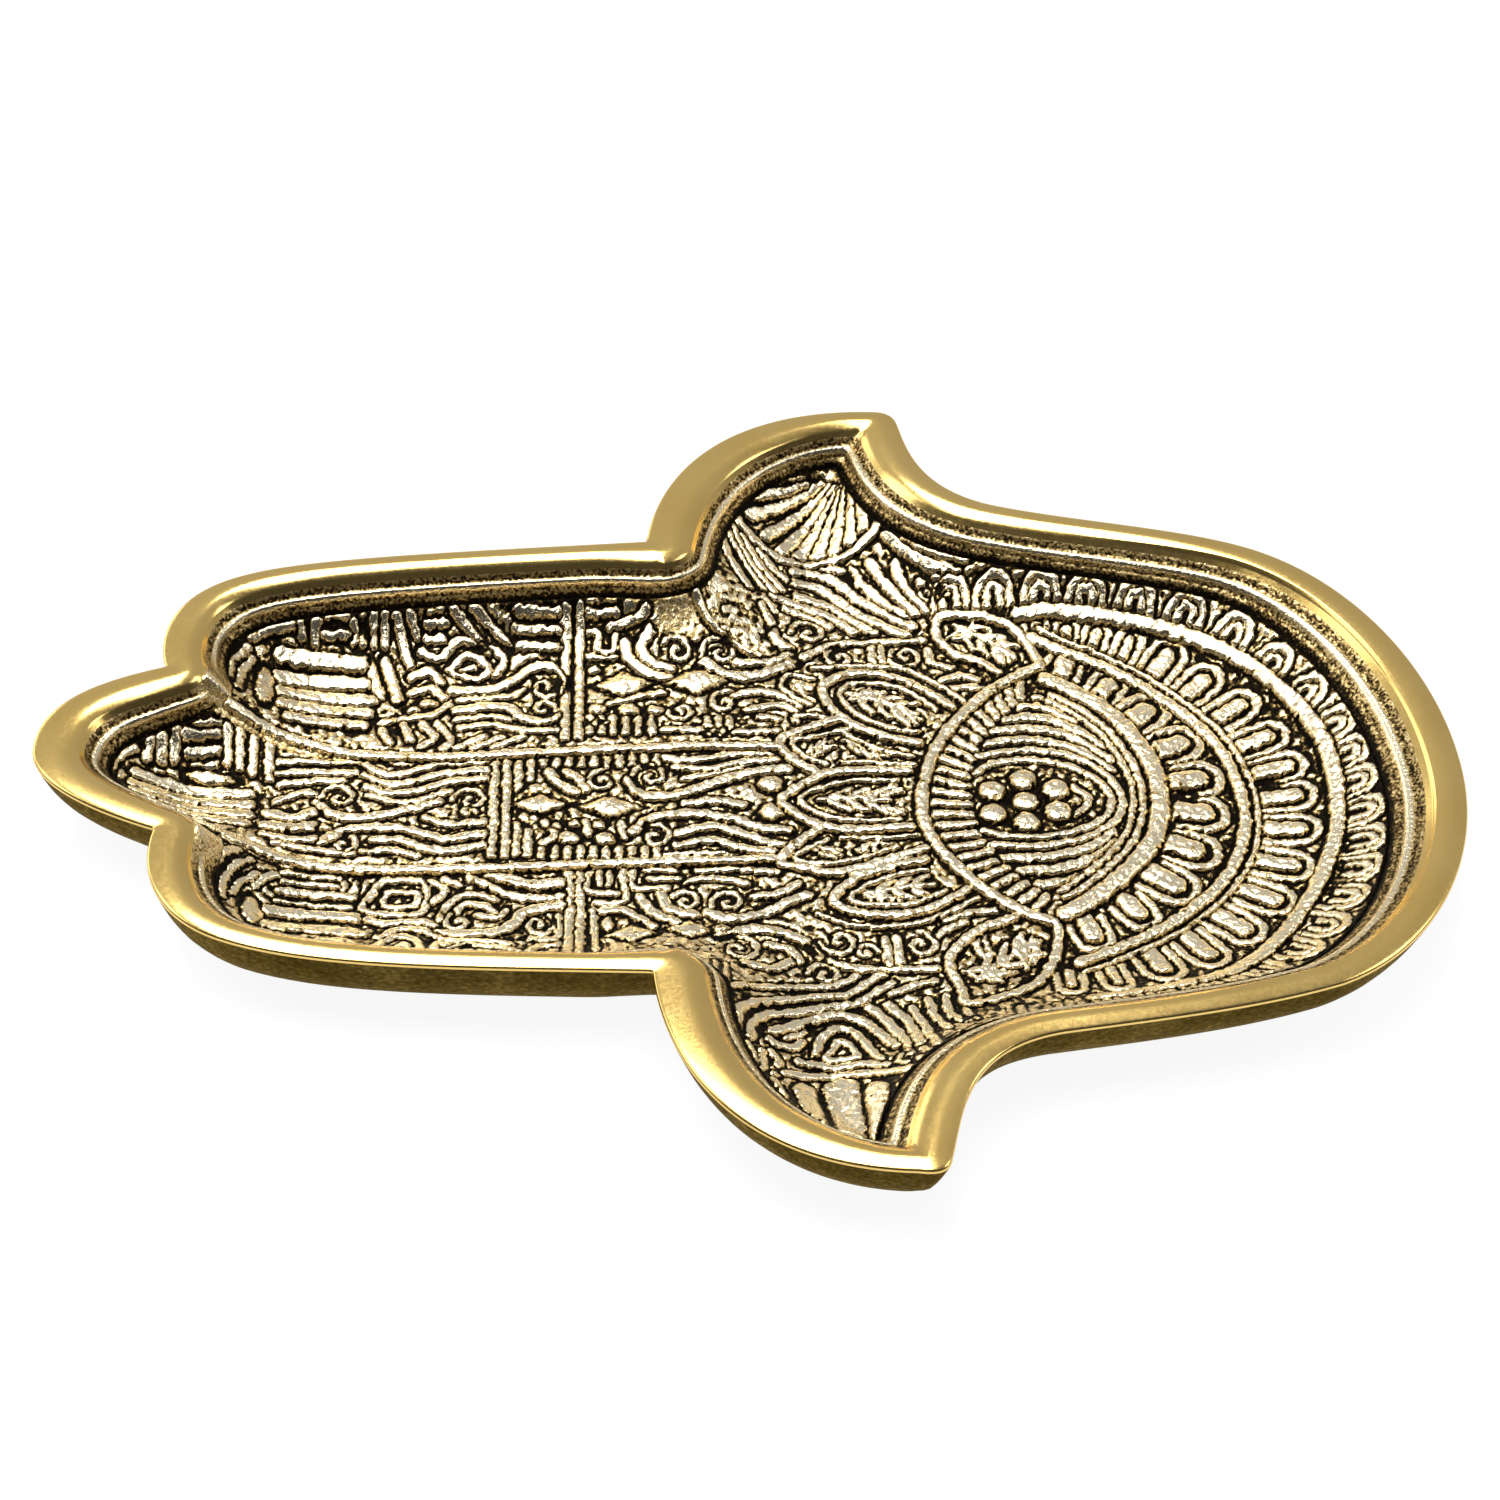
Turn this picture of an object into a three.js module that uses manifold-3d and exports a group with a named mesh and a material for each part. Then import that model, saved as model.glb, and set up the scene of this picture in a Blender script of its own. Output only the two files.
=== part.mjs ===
import * as THREE from 'three';
import { mergeVertices } from 'three/addons/utils/BufferGeometryUtils.js';
import Module from 'manifold-3d';

// A shallow cast-metal dish in the shape of a hamsa hand, standing on four felt pads.
// Millimetres. +X runs from the fingertips to the wrist, +Z is up and the table is at z = 0.
// The hand is drawn round a point near its middle and then moved over the origin.

// Driving dimensions
const FINGERTIP_X = -142.4;
const WRIST_X = 140;
const MIDDLE = [(FINGERTIP_X + WRIST_X) / 2, -0.5];
const PAD_THICKNESS = 1.5;
const PAD_DIAMETER = 14;
const PAD_SIDES = 24;
const CASTING_HEIGHT = 20;
const RIM_TOP = PAD_THICKNESS + CASTING_HEIGHT;
const PAD_PLACES = {
  felt_pad_finger_left: [-72, 30],
  felt_pad_finger_right: [-72, -30],
  felt_pad_palm_left: [78, 36],
  felt_pad_palm_right: [78, -36],
};

// The rim's outer edge on each side, from the middle fingertip to the wrist, as Bezier curves:
// two handles, an end point and the number of chords
const FINGERTIP = [FINGERTIP_X, -0.7];
const WRIST = [WRIST_X, -5];
const LEFT_EDGE = [
  [[FINGERTIP_X, 10.5], [-134.5, 17.2], [-118.7, 22.4], 7],
  [[-120.4, 27.5], [-122.6, 43.4], [-104.5, 50.3], 8],
  [[-92, 55.6], [-60, 58], [-22, 61.6], 6],
  [[-18.5, 89.5], [0, 105.4], [26.5, 105.3], 9],
  [[30.5, 105.5], [32.6, 104.4], [33.2, 100.8], 3],
  [[34.8, 93], [36.6, 78.3], [54, 73.8], 6],
  [[71, 69], [93, 67.2], [106.5, 60.6], 4],
  [[126, 51], [WRIST_X, 24.5], WRIST, 9],
];
const RIGHT_EDGE = [
  [[FINGERTIP_X, -8.8], [-134, -16.2], [-116.8, -23], 7],
  [[-118, -27.5], [-118.6, -43.5], [-103, -51], 8],
  [[-86, -58.6], [-60, -58.6], [-21, -59.2], 6],
  [[-18.6, -86], [-2.5, -105.5], [26, -106.2], 9],
  [[29.5, -106.8], [31.8, -106], [32.2, -102.9], 3],
  [[34.8, -93], [35.6, -77.6], [55, -73.6], 6],
  [[72, -70.6], [92, -67.6], [108, -61.6], 4],
  [[127, -53.2], [WRIST_X, -29.5], WRIST, 8],
];

// Rim and wall are narrower along the sides of the hand than at its ends, and narrowest along
// the fingers, so distances in from the edge are counted longer there
const SIDE_STRETCH = 1.35;
const FINGER_STRETCH = 1.17;
const FINGERS_BEGIN = [-122, -108];
const FINGERS_END = [-34, -18];

// Cross-section of the dish: distance in from the outer edge, depth below the top of the rim
const DEEPEST = 16.2;
const OUTER_WALL = [[26, CASTING_HEIGHT], [12.4, 16.8], [7.6, 13.6], [4.2, 10], [2, 6.4], [0.2, 1.6]];
const RIM = [[0, 1.2], [0.8, 0.35], [2.2, 0], [6.4, 0.55], [7.6, 1.2]];
const WALL_AND_FLOOR = [
  [8.8, 2.3], [11.2, 4.1], [14, 6.5], [17.5, 9.3], [22, 11.9], [28, 14.1], [36, 15.6], [44, DEEPEST],
];

// Raised ornament: every ridge starts a little inside the floor, so that it is one with it
const RIDGE_ROOT = 1.2;
const RIDGE_TOP_SHARE = 0.5;
const RIDGE_CORNERS = 4;

// Finger dividers: plan points and height above the floor, from the notch to the lotus
const DIVIDER_WIDTH = 2.4;
const DIVIDERS = [
  [
    [-107, 18.8, 1.3], [-100, 17.2, 1.3], [-93, 15, 1.2], [-86, 13.3, 1.1], [-76, 12.1, 1.1],
    [-60, 12.2, 1], [-37, 13.9, 1], [-14, 15.4, 1], [4, 15.7, 1],
  ],
  [
    [-106, -16, 1.3], [-100, -16.9, 1.3], [-94, -18.2, 1.2], [-86, -19.2, 1.1], [-70, -19.5, 1.1],
    [-52, -18.9, 1], [-30, -17.5, 1], [3, -16.1, 1],
  ],
];

// Eye in the palm: lids are arcs between its two corners, given by where they cross the middle
const EYE_CORNERS = [[58.6, -33.6], [60.2, 39.2]];
const EYE_MIDDLE = 1.5;
const LIDS = [
  { crossing: 33.6, width: 2.4, height: 1.4 },
  { crossing: 43.4, width: 1.8, height: 1.1 },
  { crossing: 82, width: 3.7, height: 1.5 },
];
const LASH_COUNT = 20;
const LASH_LINE = { width: 1.9, height: 0.9 };
const LASH_SPAN = 0.86;
const IRIS = { x: 54.5, y: 0.3, bead: 3.1, spacing: 6.2, rise: 1.6, petals: 6, turn: Math.PI / 6 };
const IRIS_LINE = { width: 1.5, height: 1 };
const IRIS_OUTLINE = [
  [45, 0], [48, 10.6], [57, 12.3], [66, 9.6], [72, 0.6], [66, -6.8], [55, -9.6], [47, -8.4],
];

// Rings round the eye, and the middles of the scallops in the three rows between and outside them
const RINGS = [
  {
    path: [[58.3, -43.8], [79, -33.8], [91.8, -21.5], [98.6, -3], [96.4, 13.4], [87.4, 28.2], [60, 47.3]],
    width: 2.6,
    height: 1.2,
  },
  {
    path: [
      [62, -56.6], [85, -51], [105, -32.8], [116, -8.6], [116.2, 12.4], [107.1, 33], [93.3, 45.3],
      [76.7, 51], [57, 53.2],
    ],
    width: 3.2,
    height: 1.4,
  },
];
const SCALLOPS = [
  {
    middle: [52, 1.6], length: 7.5, width: 5, height: 1.1,
    places: [
      [66.4, 38.4], [73.4, 33.8], [81.2, 26.4], [86.2, 16.6], [89.4, 6.2], [89.2, -3.8], [85.8, -13.2],
      [80.2, -21.8], [73, -29.6], [65.8, -35.4],
    ],
  },
  {
    middle: [58, 0], length: 7, width: 4.4, height: 1,
    places: [
      [69.3, 48.4], [77.2, 44.8], [85.4, 40], [92.9, 33.8], [99.2, 26.6], [103.8, 18.2], [106.9, 9.8],
      [107.8, 1], [107.5, -7.8], [104.9, -17], [100, -26.4], [93.4, -34.4], [85.9, -40.8], [76.8, -45.9],
      [67.4, -49],
    ],
  },
  {
    middle: [60, 0], length: 6.4, width: 5, height: 0.9,
    places: [
      [81.7, 54], [92.5, 50.6], [101.7, 44.7], [108.8, 35.9], [114.6, 26.8], [119.2, 16.8], [120.9, 8.4],
      [121.3, 0.9], [121.7, -7.8], [120.6, -16.2], [118.4, -23.7], [114.6, -30.6], [109.6, -38.2],
    ],
  },
];

// Lotus petals round the base of the palm
const PETAL_LINE = { width: 1.9, height: 1.1 };
const PETALS = [
  [[31.2, 8.8], [16.2, 8.3], [5.4, 0.6], [16.5, -7.8], [31, -6.8]],
  [[12.6, 8.3], [5.4, 17], [18.3, 24]],
  [[12.4, -7.8], [4.4, -16.8], [14.9, -19.8], [33.4, -13]],
  [[34, 16.8], [20.3, 22.4], [14.9, 33.4], [26.4, 37.2], [41.4, 27.6]],
  [[33.4, -15.9], [19.4, -21], [14.7, -27.4], [28.9, -30.7], [41, -24.2]],
  [[52, 38], [40.6, 46.4], [40.2, 53.2], [53.6, 51.3], [61, 39.4]],
  [[50, -31.6], [36.4, -44], [39.4, -55.6], [53.6, -48.4], [58.3, -33.7]],
];

// Bars of the fingernails, the cross bands of the fingers and the rays of the thumb tips:
// two ends and a width
const STRAIGHT_LINE_HEIGHT = 1;
const NAIL_BARS = [
  [[-97, 38], [-80, 37.8], 4], [[-97, 33.2], [-80, 33], 3.6], [[-97, 28.5], [-79, 28.2], 3.4],
  [[-96, 24.5], [-79, 24.4], 2.8], [[-95, 20.8], [-79.5, 20.6], 2.6],
  [[-94, -23.4], [-79, -23.4], 2.6], [[-94, -27.6], [-79, -27.6], 2.8], [[-94, -34.2], [-78, -34.2], 3.8],
  [[-94, -38.8], [-77, -38.8], 3.2],
  [[-123, 1], [-101, 0.8], 2.3], [[-123.4, -2.2], [-101, -2.3], 2.3], [[-122.6, -5.4], [-101, -5.4], 2.3],
  [[-120, -8.5], [-101.4, -8.6], 2.3],
];
const CROSS_BANDS = [
  [[-38.5, 48], [-38.5, 18], 1.7], [[-35.6, 48], [-35.6, 18], 1.7],
  [[-37.2, -20], [-37.2, -44], 1.7], [[-34.9, -20], [-34.9, -44], 1.7],
  [[-52.4, 11.8], [-52.4, -17.4], 1.6], [[-49.9, 11.8], [-49.9, -17.2], 1.5],
];
const CROSS_BAND_STEPS = 4;
const THUMB_RAYS = [
  [[15.6, 89.6], [-0.4, 81], 2.4], [[18.4, 89], [5.8, 74.4], 2.6], [[20.4, 88], [13.2, 72], 2.8],
  [[21.8, 88.6], [20.4, 73.2], 2.6], [[23.8, 90.6], [26, 77], 2.2],
  [[3.6, -79], [7.2, -88.4], 2.4], [[8, -78.6], [11.6, -90], 3], [[13.6, -78.4], [15.2, -91], 4],
  [[19.4, -78.6], [18.8, -91.6], 3], [[25, -79.4], [22.6, -92], 2.2],
];

// Scrolls and flowing lines of the fingers and thumbs
const FLOW_LINE = { width: 2, height: 1, steps: 5 };
const FLOWS = [
  [[-62, 31.4], [-52, 32.4], [-45, 37.4], [-39, 35]], [[-61, 25.6], [-50, 26.7], [-40, 24]],
  [[-60, -38.8], [-50, -37.6], [-44, -32], [-38.6, -31.6]], [[-59.5, -22.6], [-50, -26], [-39, -25]],
  [[-79, 8.4], [-70, 6.4], [-54, 9.6]], [[-87, -2], [-79, -5.2], [-63.4, -0.4]],
  [[-85, -11], [-72, -8], [-61, -10.8], [-54.4, -9.4]],
  [[-25, 5], [-17.6, 1.5], [2, 8.8]], [[-24.8, -8.6], [-12.4, -3.5], [6.4, -8]],
  [[-26, 43], [-22, 36.8], [-17.2, 35.2]], [[-9.6, 39.4], [-1, 36], [9.6, 41]],
  [[-23, -27.6], [-20.6, -31.6], [-15.6, -34.6]], [[-9.9, -31.4], [0.8, -31.6], [9.9, -26.4]],
  [[-4.4, 79], [6, 71], [18, 70], [29.4, 76.4]], [[10.1, 67.6], [21, 62], [34.6, 51.2]],
  [[5.3, 59.2], [17.4, 54.6], [26.4, 49.8]], [[26, 68], [29.6, 61.6], [35.3, 54.8]],
  [[-0.2, -78.6], [9, -75.8], [19, -76.2], [29.6, -75.6]], [[1.6, -59.7], [14.9, -58.2], [23.2, -69.2]],
  [[1.6, -57], [15.6, -53.4], [25.4, -47.2]], [[28.9, -63.2], [29.6, -56], [36.2, -49]],
];

// Diamonds and oval beads of the fingers: place, half length along x, half width along y
const BUMP_RISE = 1.2;
const DIAMONDS = [
  [-26.4, 33.4, 6.6, 3.9], [-11.2, 34.4, 7.4, 3.7], [-43.2, -1.2, 6.4, 3.2], [-29, -1.8, 7, 3.3],
  [-24.8, -38, 5.4, 3.2], [-13.2, -36.4, 5.4, 3.2],
];
const OVALS = [[-99.8, 28, 2.2, 5.2], [-98, -33.3, 2.2, 4.8], [-108.9, 4.2, 5.8, 2.2]];

// Counts that set how finely the curves are drawn
const HALVINGS = 40;
const ARC_STEPS = 16;
const PETAL_STEPS = 9;
const BEAD_SIDES = 8;
const BEAD_RINGS = 4;

const wasm = await Module();
wasm.setup();

// One side of the outer edge, from the fingertip to the wrist
function sidePoints(curves) {
  const side = [new THREE.Vector2(...FINGERTIP)];
  for (const [a, b, end, chords] of curves) {
    const start = side[side.length - 1].clone();
    const curve = new THREE.CubicBezierCurve(
      start, new THREE.Vector2(...a), new THREE.Vector2(...b), new THREE.Vector2(...end));
    side.push(...curve.getSpacedPoints(chords).slice(1));
  }
  return side;
}

// The whole outer edge, anticlockwise, with a corner at each notch
const OUTLINE = [...sidePoints(RIGHT_EDGE).slice(1, -1), ...sidePoints(LEFT_EDGE).reverse()];
const STRETCHED = OUTLINE.map((p) => new THREE.Vector3(p.x, p.y * SIDE_STRETCH, 0));

// Distance in from the edge, counted longer along the sides and longest along the fingers
function insetAt(x, y) {
  const point = new THREE.Vector3(x, y * SIDE_STRETCH, 0);
  const nearest = new THREE.Vector3();
  const chord = new THREE.Line3();
  let least = Infinity;
  STRETCHED.forEach((a, i) => {
    chord.set(a, STRETCHED[(i + 1) % STRETCHED.length]);
    chord.closestPointToPoint(point, true, nearest);
    least = Math.min(least, nearest.distanceTo(point));
  });
  const begun = THREE.MathUtils.smoothstep(x, ...FINGERS_BEGIN);
  const ended = THREE.MathUtils.smoothstep(x, ...FINGERS_END);
  return least * THREE.MathUtils.lerp(1, FINGER_STRETCH, begun * (1 - ended));
}

// Height of the wall or the floor inside the rim
function floorHeight(x, y) {
  const inset = insetAt(x, y);
  const section = [...RIM, ...WALL_AND_FLOOR];
  const next = section.findIndex(([d]) => d > inset);
  if (next < 0) {
    return RIM_TOP - DEEPEST;
  }
  const [d0, h0] = section[next - 1];
  const [d1, h1] = section[next];
  return RIM_TOP - THREE.MathUtils.lerp(h0, h1, (inset - d0) / (d1 - d0));
}

// The outline drawn in by a distance, one point on the line from the middle to each edge point
function insetRing(inset, depth) {
  return OUTLINE.map((edge) => {
    let outside = 1;
    let inside = 0;
    for (let i = 0; i < HALVINGS && inset > 0; i += 1) {
      const share = (outside + inside) / 2;
      if (insetAt(edge.x * share, edge.y * share) < inset) {
        outside = share;
      } else {
        inside = share;
      }
    }
    return new THREE.Vector3(edge.x * outside, edge.y * outside, RIM_TOP - depth);
  });
}

function indexedGeometry(points, triangles) {
  const geometry = new THREE.BufferGeometry().setFromPoints(points);
  geometry.setIndex(triangles);
  return geometry;
}

// Skin through closed rings, from a first middle point to a last one
function loft(firstMiddle, rings, lastMiddle) {
  const count = rings[0].length;
  const points = [...rings.flat(), firstMiddle, lastMiddle];
  const first = points.length - 2;
  const last = points.length - 1;
  const triangles = [];
  for (let i = 0; i < count; i += 1) {
    const j = (i + 1) % count;
    triangles.push(first, j, i);
    for (let r = 0; r < rings.length - 1; r += 1) {
      const low = r * count;
      const high = low + count;
      triangles.push(low + i, low + j, high + j, low + i, high + j, high + i);
    }
    const top = (rings.length - 1) * count;
    triangles.push(last, top + i, top + j);
  }
  return indexedGeometry(points, triangles);
}

// Ridge along a plan path, tapering from a wide root in the floor to a narrower top.
// A path point may carry its own height above the floor.
function ridge(path, width, height, closed = false) {
  const points = [];
  const triangles = [];
  const count = path.length;
  path.forEach(([x, y, ownHeight], i) => {
    const before = path[closed ? (i + count - 1) % count : Math.max(i - 1, 0)];
    const after = path[closed ? (i + 1) % count : Math.min(i + 1, count - 1)];
    const across = new THREE.Vector2(before[1] - after[1], after[0] - before[0]).normalize();
    const floor = floorHeight(x, y);
    const root = floor - RIDGE_ROOT;
    const top = floor + (ownHeight ?? height);
    const half = width / 2;
    const topHalf = half * RIDGE_TOP_SHARE;
    for (const [side, z] of [[-half, root], [half, root], [topHalf, top], [-topHalf, top]]) {
      points.push(new THREE.Vector3(x + across.x * side, y + across.y * side, z));
    }
  });
  for (let i = 0; i < (closed ? count : count - 1); i += 1) {
    const here = i * RIDGE_CORNERS;
    const next = ((i + 1) % count) * RIDGE_CORNERS;
    for (let side = 0; side < RIDGE_CORNERS; side += 1) {
      const other = (side + 1) % RIDGE_CORNERS;
      triangles.push(here + side, here + other, next + other);
      triangles.push(here + side, next + other, next + side);
    }
  }
  if (!closed) {
    const end = (count - 1) * RIDGE_CORNERS;
    triangles.push(0, 3, 2, 0, 2, 1);
    triangles.push(end, end + 1, end + 2, end, end + 2, end + 3);
  }
  return indexedGeometry(points, triangles);
}

// Points on the circle through three plan points, from the first to the last
function arcThrough(a, b, c, steps) {
  const [p, q, r] = [a, b, c].map(([x, y]) => new THREE.Vector2(x, y));
  const cross = 2 * (p.x * (q.y - r.y) + q.x * (r.y - p.y) + r.x * (p.y - q.y));
  const squares = [p, q, r].map((v) => v.lengthSq());
  const centre = new THREE.Vector2(
    (squares[0] * (q.y - r.y) + squares[1] * (r.y - p.y) + squares[2] * (p.y - q.y)) / cross,
    (squares[0] * (r.x - q.x) + squares[1] * (p.x - r.x) + squares[2] * (q.x - p.x)) / cross);
  const radius = centre.distanceTo(p);
  const turn = (v) => Math.atan2(v.y - centre.y, v.x - centre.x);
  const start = turn(p);
  const wrap = (angle) => THREE.MathUtils.euclideanModulo(angle - start, 2 * Math.PI);
  const sweep = wrap(turn(q)) < wrap(turn(r)) ? wrap(turn(r)) : wrap(turn(r)) - 2 * Math.PI;
  return Array.from({ length: steps + 1 }, (_, i) => {
    const angle = start + (sweep * i) / steps;
    return [centre.x + radius * Math.cos(angle), centre.y + radius * Math.sin(angle)];
  });
}

function smoothThrough(places, steps) {
  const curve = new THREE.SplineCurve(places.map(([x, y]) => new THREE.Vector2(x, y)));
  return curve.getSpacedPoints(steps).map((p) => [p.x, p.y]);
}

// Low dome on the floor, round or oval
function bead(x, y, halfLength, halfWidth, rise) {
  const geometry = new THREE.SphereGeometry(1, BEAD_SIDES, BEAD_RINGS);
  geometry.rotateX(Math.PI / 2);
  geometry.scale(halfLength, halfWidth, rise);
  geometry.translate(x, y, floorHeight(x, y));
  return geometry;
}

// Four-sided point on the floor
function diamond(x, y, halfLength, halfWidth) {
  const tall = BUMP_RISE + RIDGE_ROOT;
  const geometry = new THREE.ConeGeometry(1, tall, RIDGE_CORNERS);
  geometry.rotateX(Math.PI / 2);
  geometry.scale(halfLength, halfWidth, 1);
  geometry.translate(x, y, floorHeight(x, y) - RIDGE_ROOT + tall / 2);
  return geometry;
}

function eyeRidges() {
  const lidArc = (crossing, steps) =>
    arcThrough(EYE_CORNERS[0], [crossing, EYE_MIDDLE], EYE_CORNERS[1], steps);
  const lids = LIDS.map((lid) => ridge(lidArc(lid.crossing, ARC_STEPS), lid.width, lid.height));
  const outer = lidArc(LIDS[0].crossing, LASH_COUNT + 1);
  const inner = lidArc(LIDS[1].crossing, LASH_COUNT + 1);
  const lashes = [];
  for (let i = 1; i <= LASH_COUNT; i += 1) {
    if (Math.abs((2 * i) / (LASH_COUNT + 1) - 1) < LASH_SPAN) {
      lashes.push(ridge([outer[i], inner[i]], LASH_LINE.width, LASH_LINE.height));
    }
  }
  return [...lids, ...lashes];
}

function irisPieces() {
  const { x, y, spacing, rise, petals, turn } = IRIS;
  const beads = [bead(x, y, IRIS.bead, IRIS.bead, rise)];
  for (let i = 0; i < petals; i += 1) {
    const angle = turn + (2 * Math.PI * i) / petals;
    const beadX = x + spacing * Math.cos(angle);
    const beadY = y + spacing * Math.sin(angle);
    beads.push(bead(beadX, beadY, IRIS.bead, IRIS.bead, rise));
  }
  return [ridge(IRIS_OUTLINE, IRIS_LINE.width, IRIS_LINE.height, true), ...beads];
}

function ringRidges() {
  return RINGS.map(({ path, width, height }) => ridge(smoothThrough(path, ARC_STEPS), width, height));
}

// Scallops point away from the middle of their row
function scallopRidges() {
  return SCALLOPS.flatMap(({ middle, length, width, height, places }) => places.map(([x, y]) => {
    const out = new THREE.Vector2(x - middle[0], y - middle[1]).setLength(length / 2);
    return ridge([[x - out.x, y - out.y], [x + out.x, y + out.y]], width, height);
  }));
}

function lineRidges() {
  const straight = [...NAIL_BARS, ...THUMB_RAYS].map(([from, to, width]) =>
    ridge([from, to], width, STRAIGHT_LINE_HEIGHT));
  const bands = CROSS_BANDS.map(([from, to, width]) =>
    ridge(smoothThrough([from, to], CROSS_BAND_STEPS), width, STRAIGHT_LINE_HEIGHT));
  const petals = PETALS.map((path) =>
    ridge(smoothThrough(path, PETAL_STEPS), PETAL_LINE.width, PETAL_LINE.height));
  const flows = FLOWS.map((path) =>
    ridge(smoothThrough(path, FLOW_LINE.steps), FLOW_LINE.width, FLOW_LINE.height));
  const dividers = DIVIDERS.map((path) => ridge(path, DIVIDER_WIDTH, 0));
  return [...straight, ...bands, ...petals, ...flows, ...dividers];
}

function bumps() {
  const ovals = OVALS.map((oval) => bead(...oval, BUMP_RISE));
  return [...DIAMONDS.map((place) => diamond(...place)), ...ovals];
}

function toSolid(geometry) {
  const bare = geometry.clone();
  bare.deleteAttribute('normal');
  bare.deleteAttribute('uv');
  const merged = mergeVertices(bare);
  return new wasm.Manifold(new wasm.Mesh({
    numProp: 3,
    vertProperties: new Float32Array(merged.attributes.position.array),
    triVerts: new Uint32Array(merged.index.array),
  }));
}

function toGeometry(solid) {
  const mesh = solid.getMesh();
  const geometry = new THREE.BufferGeometry();
  geometry.setAttribute('position', new THREE.BufferAttribute(mesh.vertProperties, 3));
  geometry.setIndex(new THREE.BufferAttribute(mesh.triVerts, 1));
  geometry.computeVertexNormals();
  return geometry;
}

function castingGeometry() {
  const section = [...OUTER_WALL, ...RIM, ...WALL_AND_FLOOR];
  const rings = section.map(([inset, depth]) => insetRing(inset, depth));
  const underside = new THREE.Vector3(0, 0, PAD_THICKNESS);
  const deepest = new THREE.Vector3(0, 0, RIM_TOP - DEEPEST);
  const dish = toSolid(loft(underside, rings, deepest));
  const ornament = [
    ...eyeRidges(), ...irisPieces(), ...ringRidges(), ...scallopRidges(), ...lineRidges(), ...bumps(),
  ];
  const whole = ornament.reduce((solid, raised) => solid.add(toSolid(raised)), dish);
  return toGeometry(whole);
}

function padGeometry() {
  const geometry = new THREE.CylinderGeometry(
    PAD_DIAMETER / 2, PAD_DIAMETER / 2, PAD_THICKNESS, PAD_SIDES);
  geometry.rotateX(Math.PI / 2);
  geometry.translate(0, 0, PAD_THICKNESS / 2);
  return geometry;
}

const brass = new THREE.MeshStandardMaterial({ color: 0xb99a55, roughness: 0.35, metalness: 1 });
const felt = new THREE.MeshStandardMaterial({ color: 0x3a3128, roughness: 0.95, metalness: 0 });

const bowl = new THREE.Group();
const casting = new THREE.Mesh(castingGeometry(), brass);
casting.name = 'bowl_casting';
casting.position.set(-MIDDLE[0], -MIDDLE[1], 0);
bowl.add(casting);
for (const [name, [x, y]] of Object.entries(PAD_PLACES)) {
  const pad = new THREE.Mesh(padGeometry(), felt);
  pad.name = name;
  pad.position.set(x, y, 0);
  bowl.add(pad);
}

export default bowl;
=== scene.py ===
import math

import bpy
import numpy as np
from mathutils import Matrix, Vector


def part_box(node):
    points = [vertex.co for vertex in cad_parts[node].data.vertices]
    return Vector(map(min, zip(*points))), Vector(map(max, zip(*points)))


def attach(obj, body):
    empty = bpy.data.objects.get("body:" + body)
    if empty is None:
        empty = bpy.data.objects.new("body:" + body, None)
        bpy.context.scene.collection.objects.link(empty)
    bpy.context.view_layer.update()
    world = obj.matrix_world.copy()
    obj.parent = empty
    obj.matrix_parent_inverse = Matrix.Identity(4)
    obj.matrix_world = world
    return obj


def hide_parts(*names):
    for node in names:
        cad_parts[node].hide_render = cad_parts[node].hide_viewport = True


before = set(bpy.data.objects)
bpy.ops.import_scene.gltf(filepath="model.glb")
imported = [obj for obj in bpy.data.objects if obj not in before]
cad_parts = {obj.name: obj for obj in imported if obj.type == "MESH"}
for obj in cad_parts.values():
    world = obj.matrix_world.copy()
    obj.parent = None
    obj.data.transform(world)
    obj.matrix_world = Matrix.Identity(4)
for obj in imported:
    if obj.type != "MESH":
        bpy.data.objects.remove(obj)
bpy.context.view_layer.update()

# Sizes in millimetres, taken from the frame where it gives them
MM = 0.001
casting_low, casting_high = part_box("bowl_casting")
RIM_TOP = casting_high[2] / MM
BASE_DEPTH = (casting_high[2] - casting_low[2]) / MM
INSIDE_BOX = 0.9992
# Points along the outer edge, and the grid that the relief is drawn on
SPACING = 0.8
STEP = 0.35
GRID_X = (-144, 142.01)
GRID_Y = (-108, 108.01)
# How finely curves are drawn, and how far in from the edge distances are worked out
CURVE_POINTS = 200
FLOW_STEPS = 8
HALVINGS = 32
REACH = 60
chance = np.random.default_rng(11)

# The rim's outer edge on each side, from the middle fingertip to the wrist, as Bezier curves:
# two handles and an end point. The hand is drawn round a point near its middle and moved later.
MIDDLE = (-1.2, -0.5)
FINGERTIP = (-142.4, -0.7)
LEFT_EDGE = [
    ((-142.4, 10.5), (-134.5, 17.2), (-118.7, 22.4)),
    ((-120.4, 27.5), (-122.6, 43.4), (-104.5, 50.3)),
    ((-92, 55.6), (-60, 58), (-22, 61.6)),
    ((-18.5, 89.5), (0, 105.4), (26.5, 105.3)),
    ((30.5, 105.5), (32.6, 104.4), (33.2, 100.8)),
    ((34.8, 93), (36.6, 78.3), (54, 73.8)),
    ((71, 69), (93, 67.2), (106.5, 60.6)),
    ((126, 51), (140, 24.5), (140, -5)),
]
RIGHT_EDGE = [
    ((-142.4, -8.8), (-134, -16.2), (-116.8, -23)),
    ((-118, -27.5), (-118.6, -43.5), (-103, -51)),
    ((-86, -58.6), (-60, -58.6), (-21, -59.2)),
    ((-18.6, -86), (-2.5, -105.5), (26, -106.2)),
    ((29.5, -106.8), (31.8, -106), (32.2, -102.9)),
    ((34.8, -93), (35.6, -77.6), (55, -73.6)),
    ((72, -70.6), (92, -67.6), (108, -61.6)),
    ((127, -53.2), (140, -29.5), (140, -5)),
]

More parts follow.
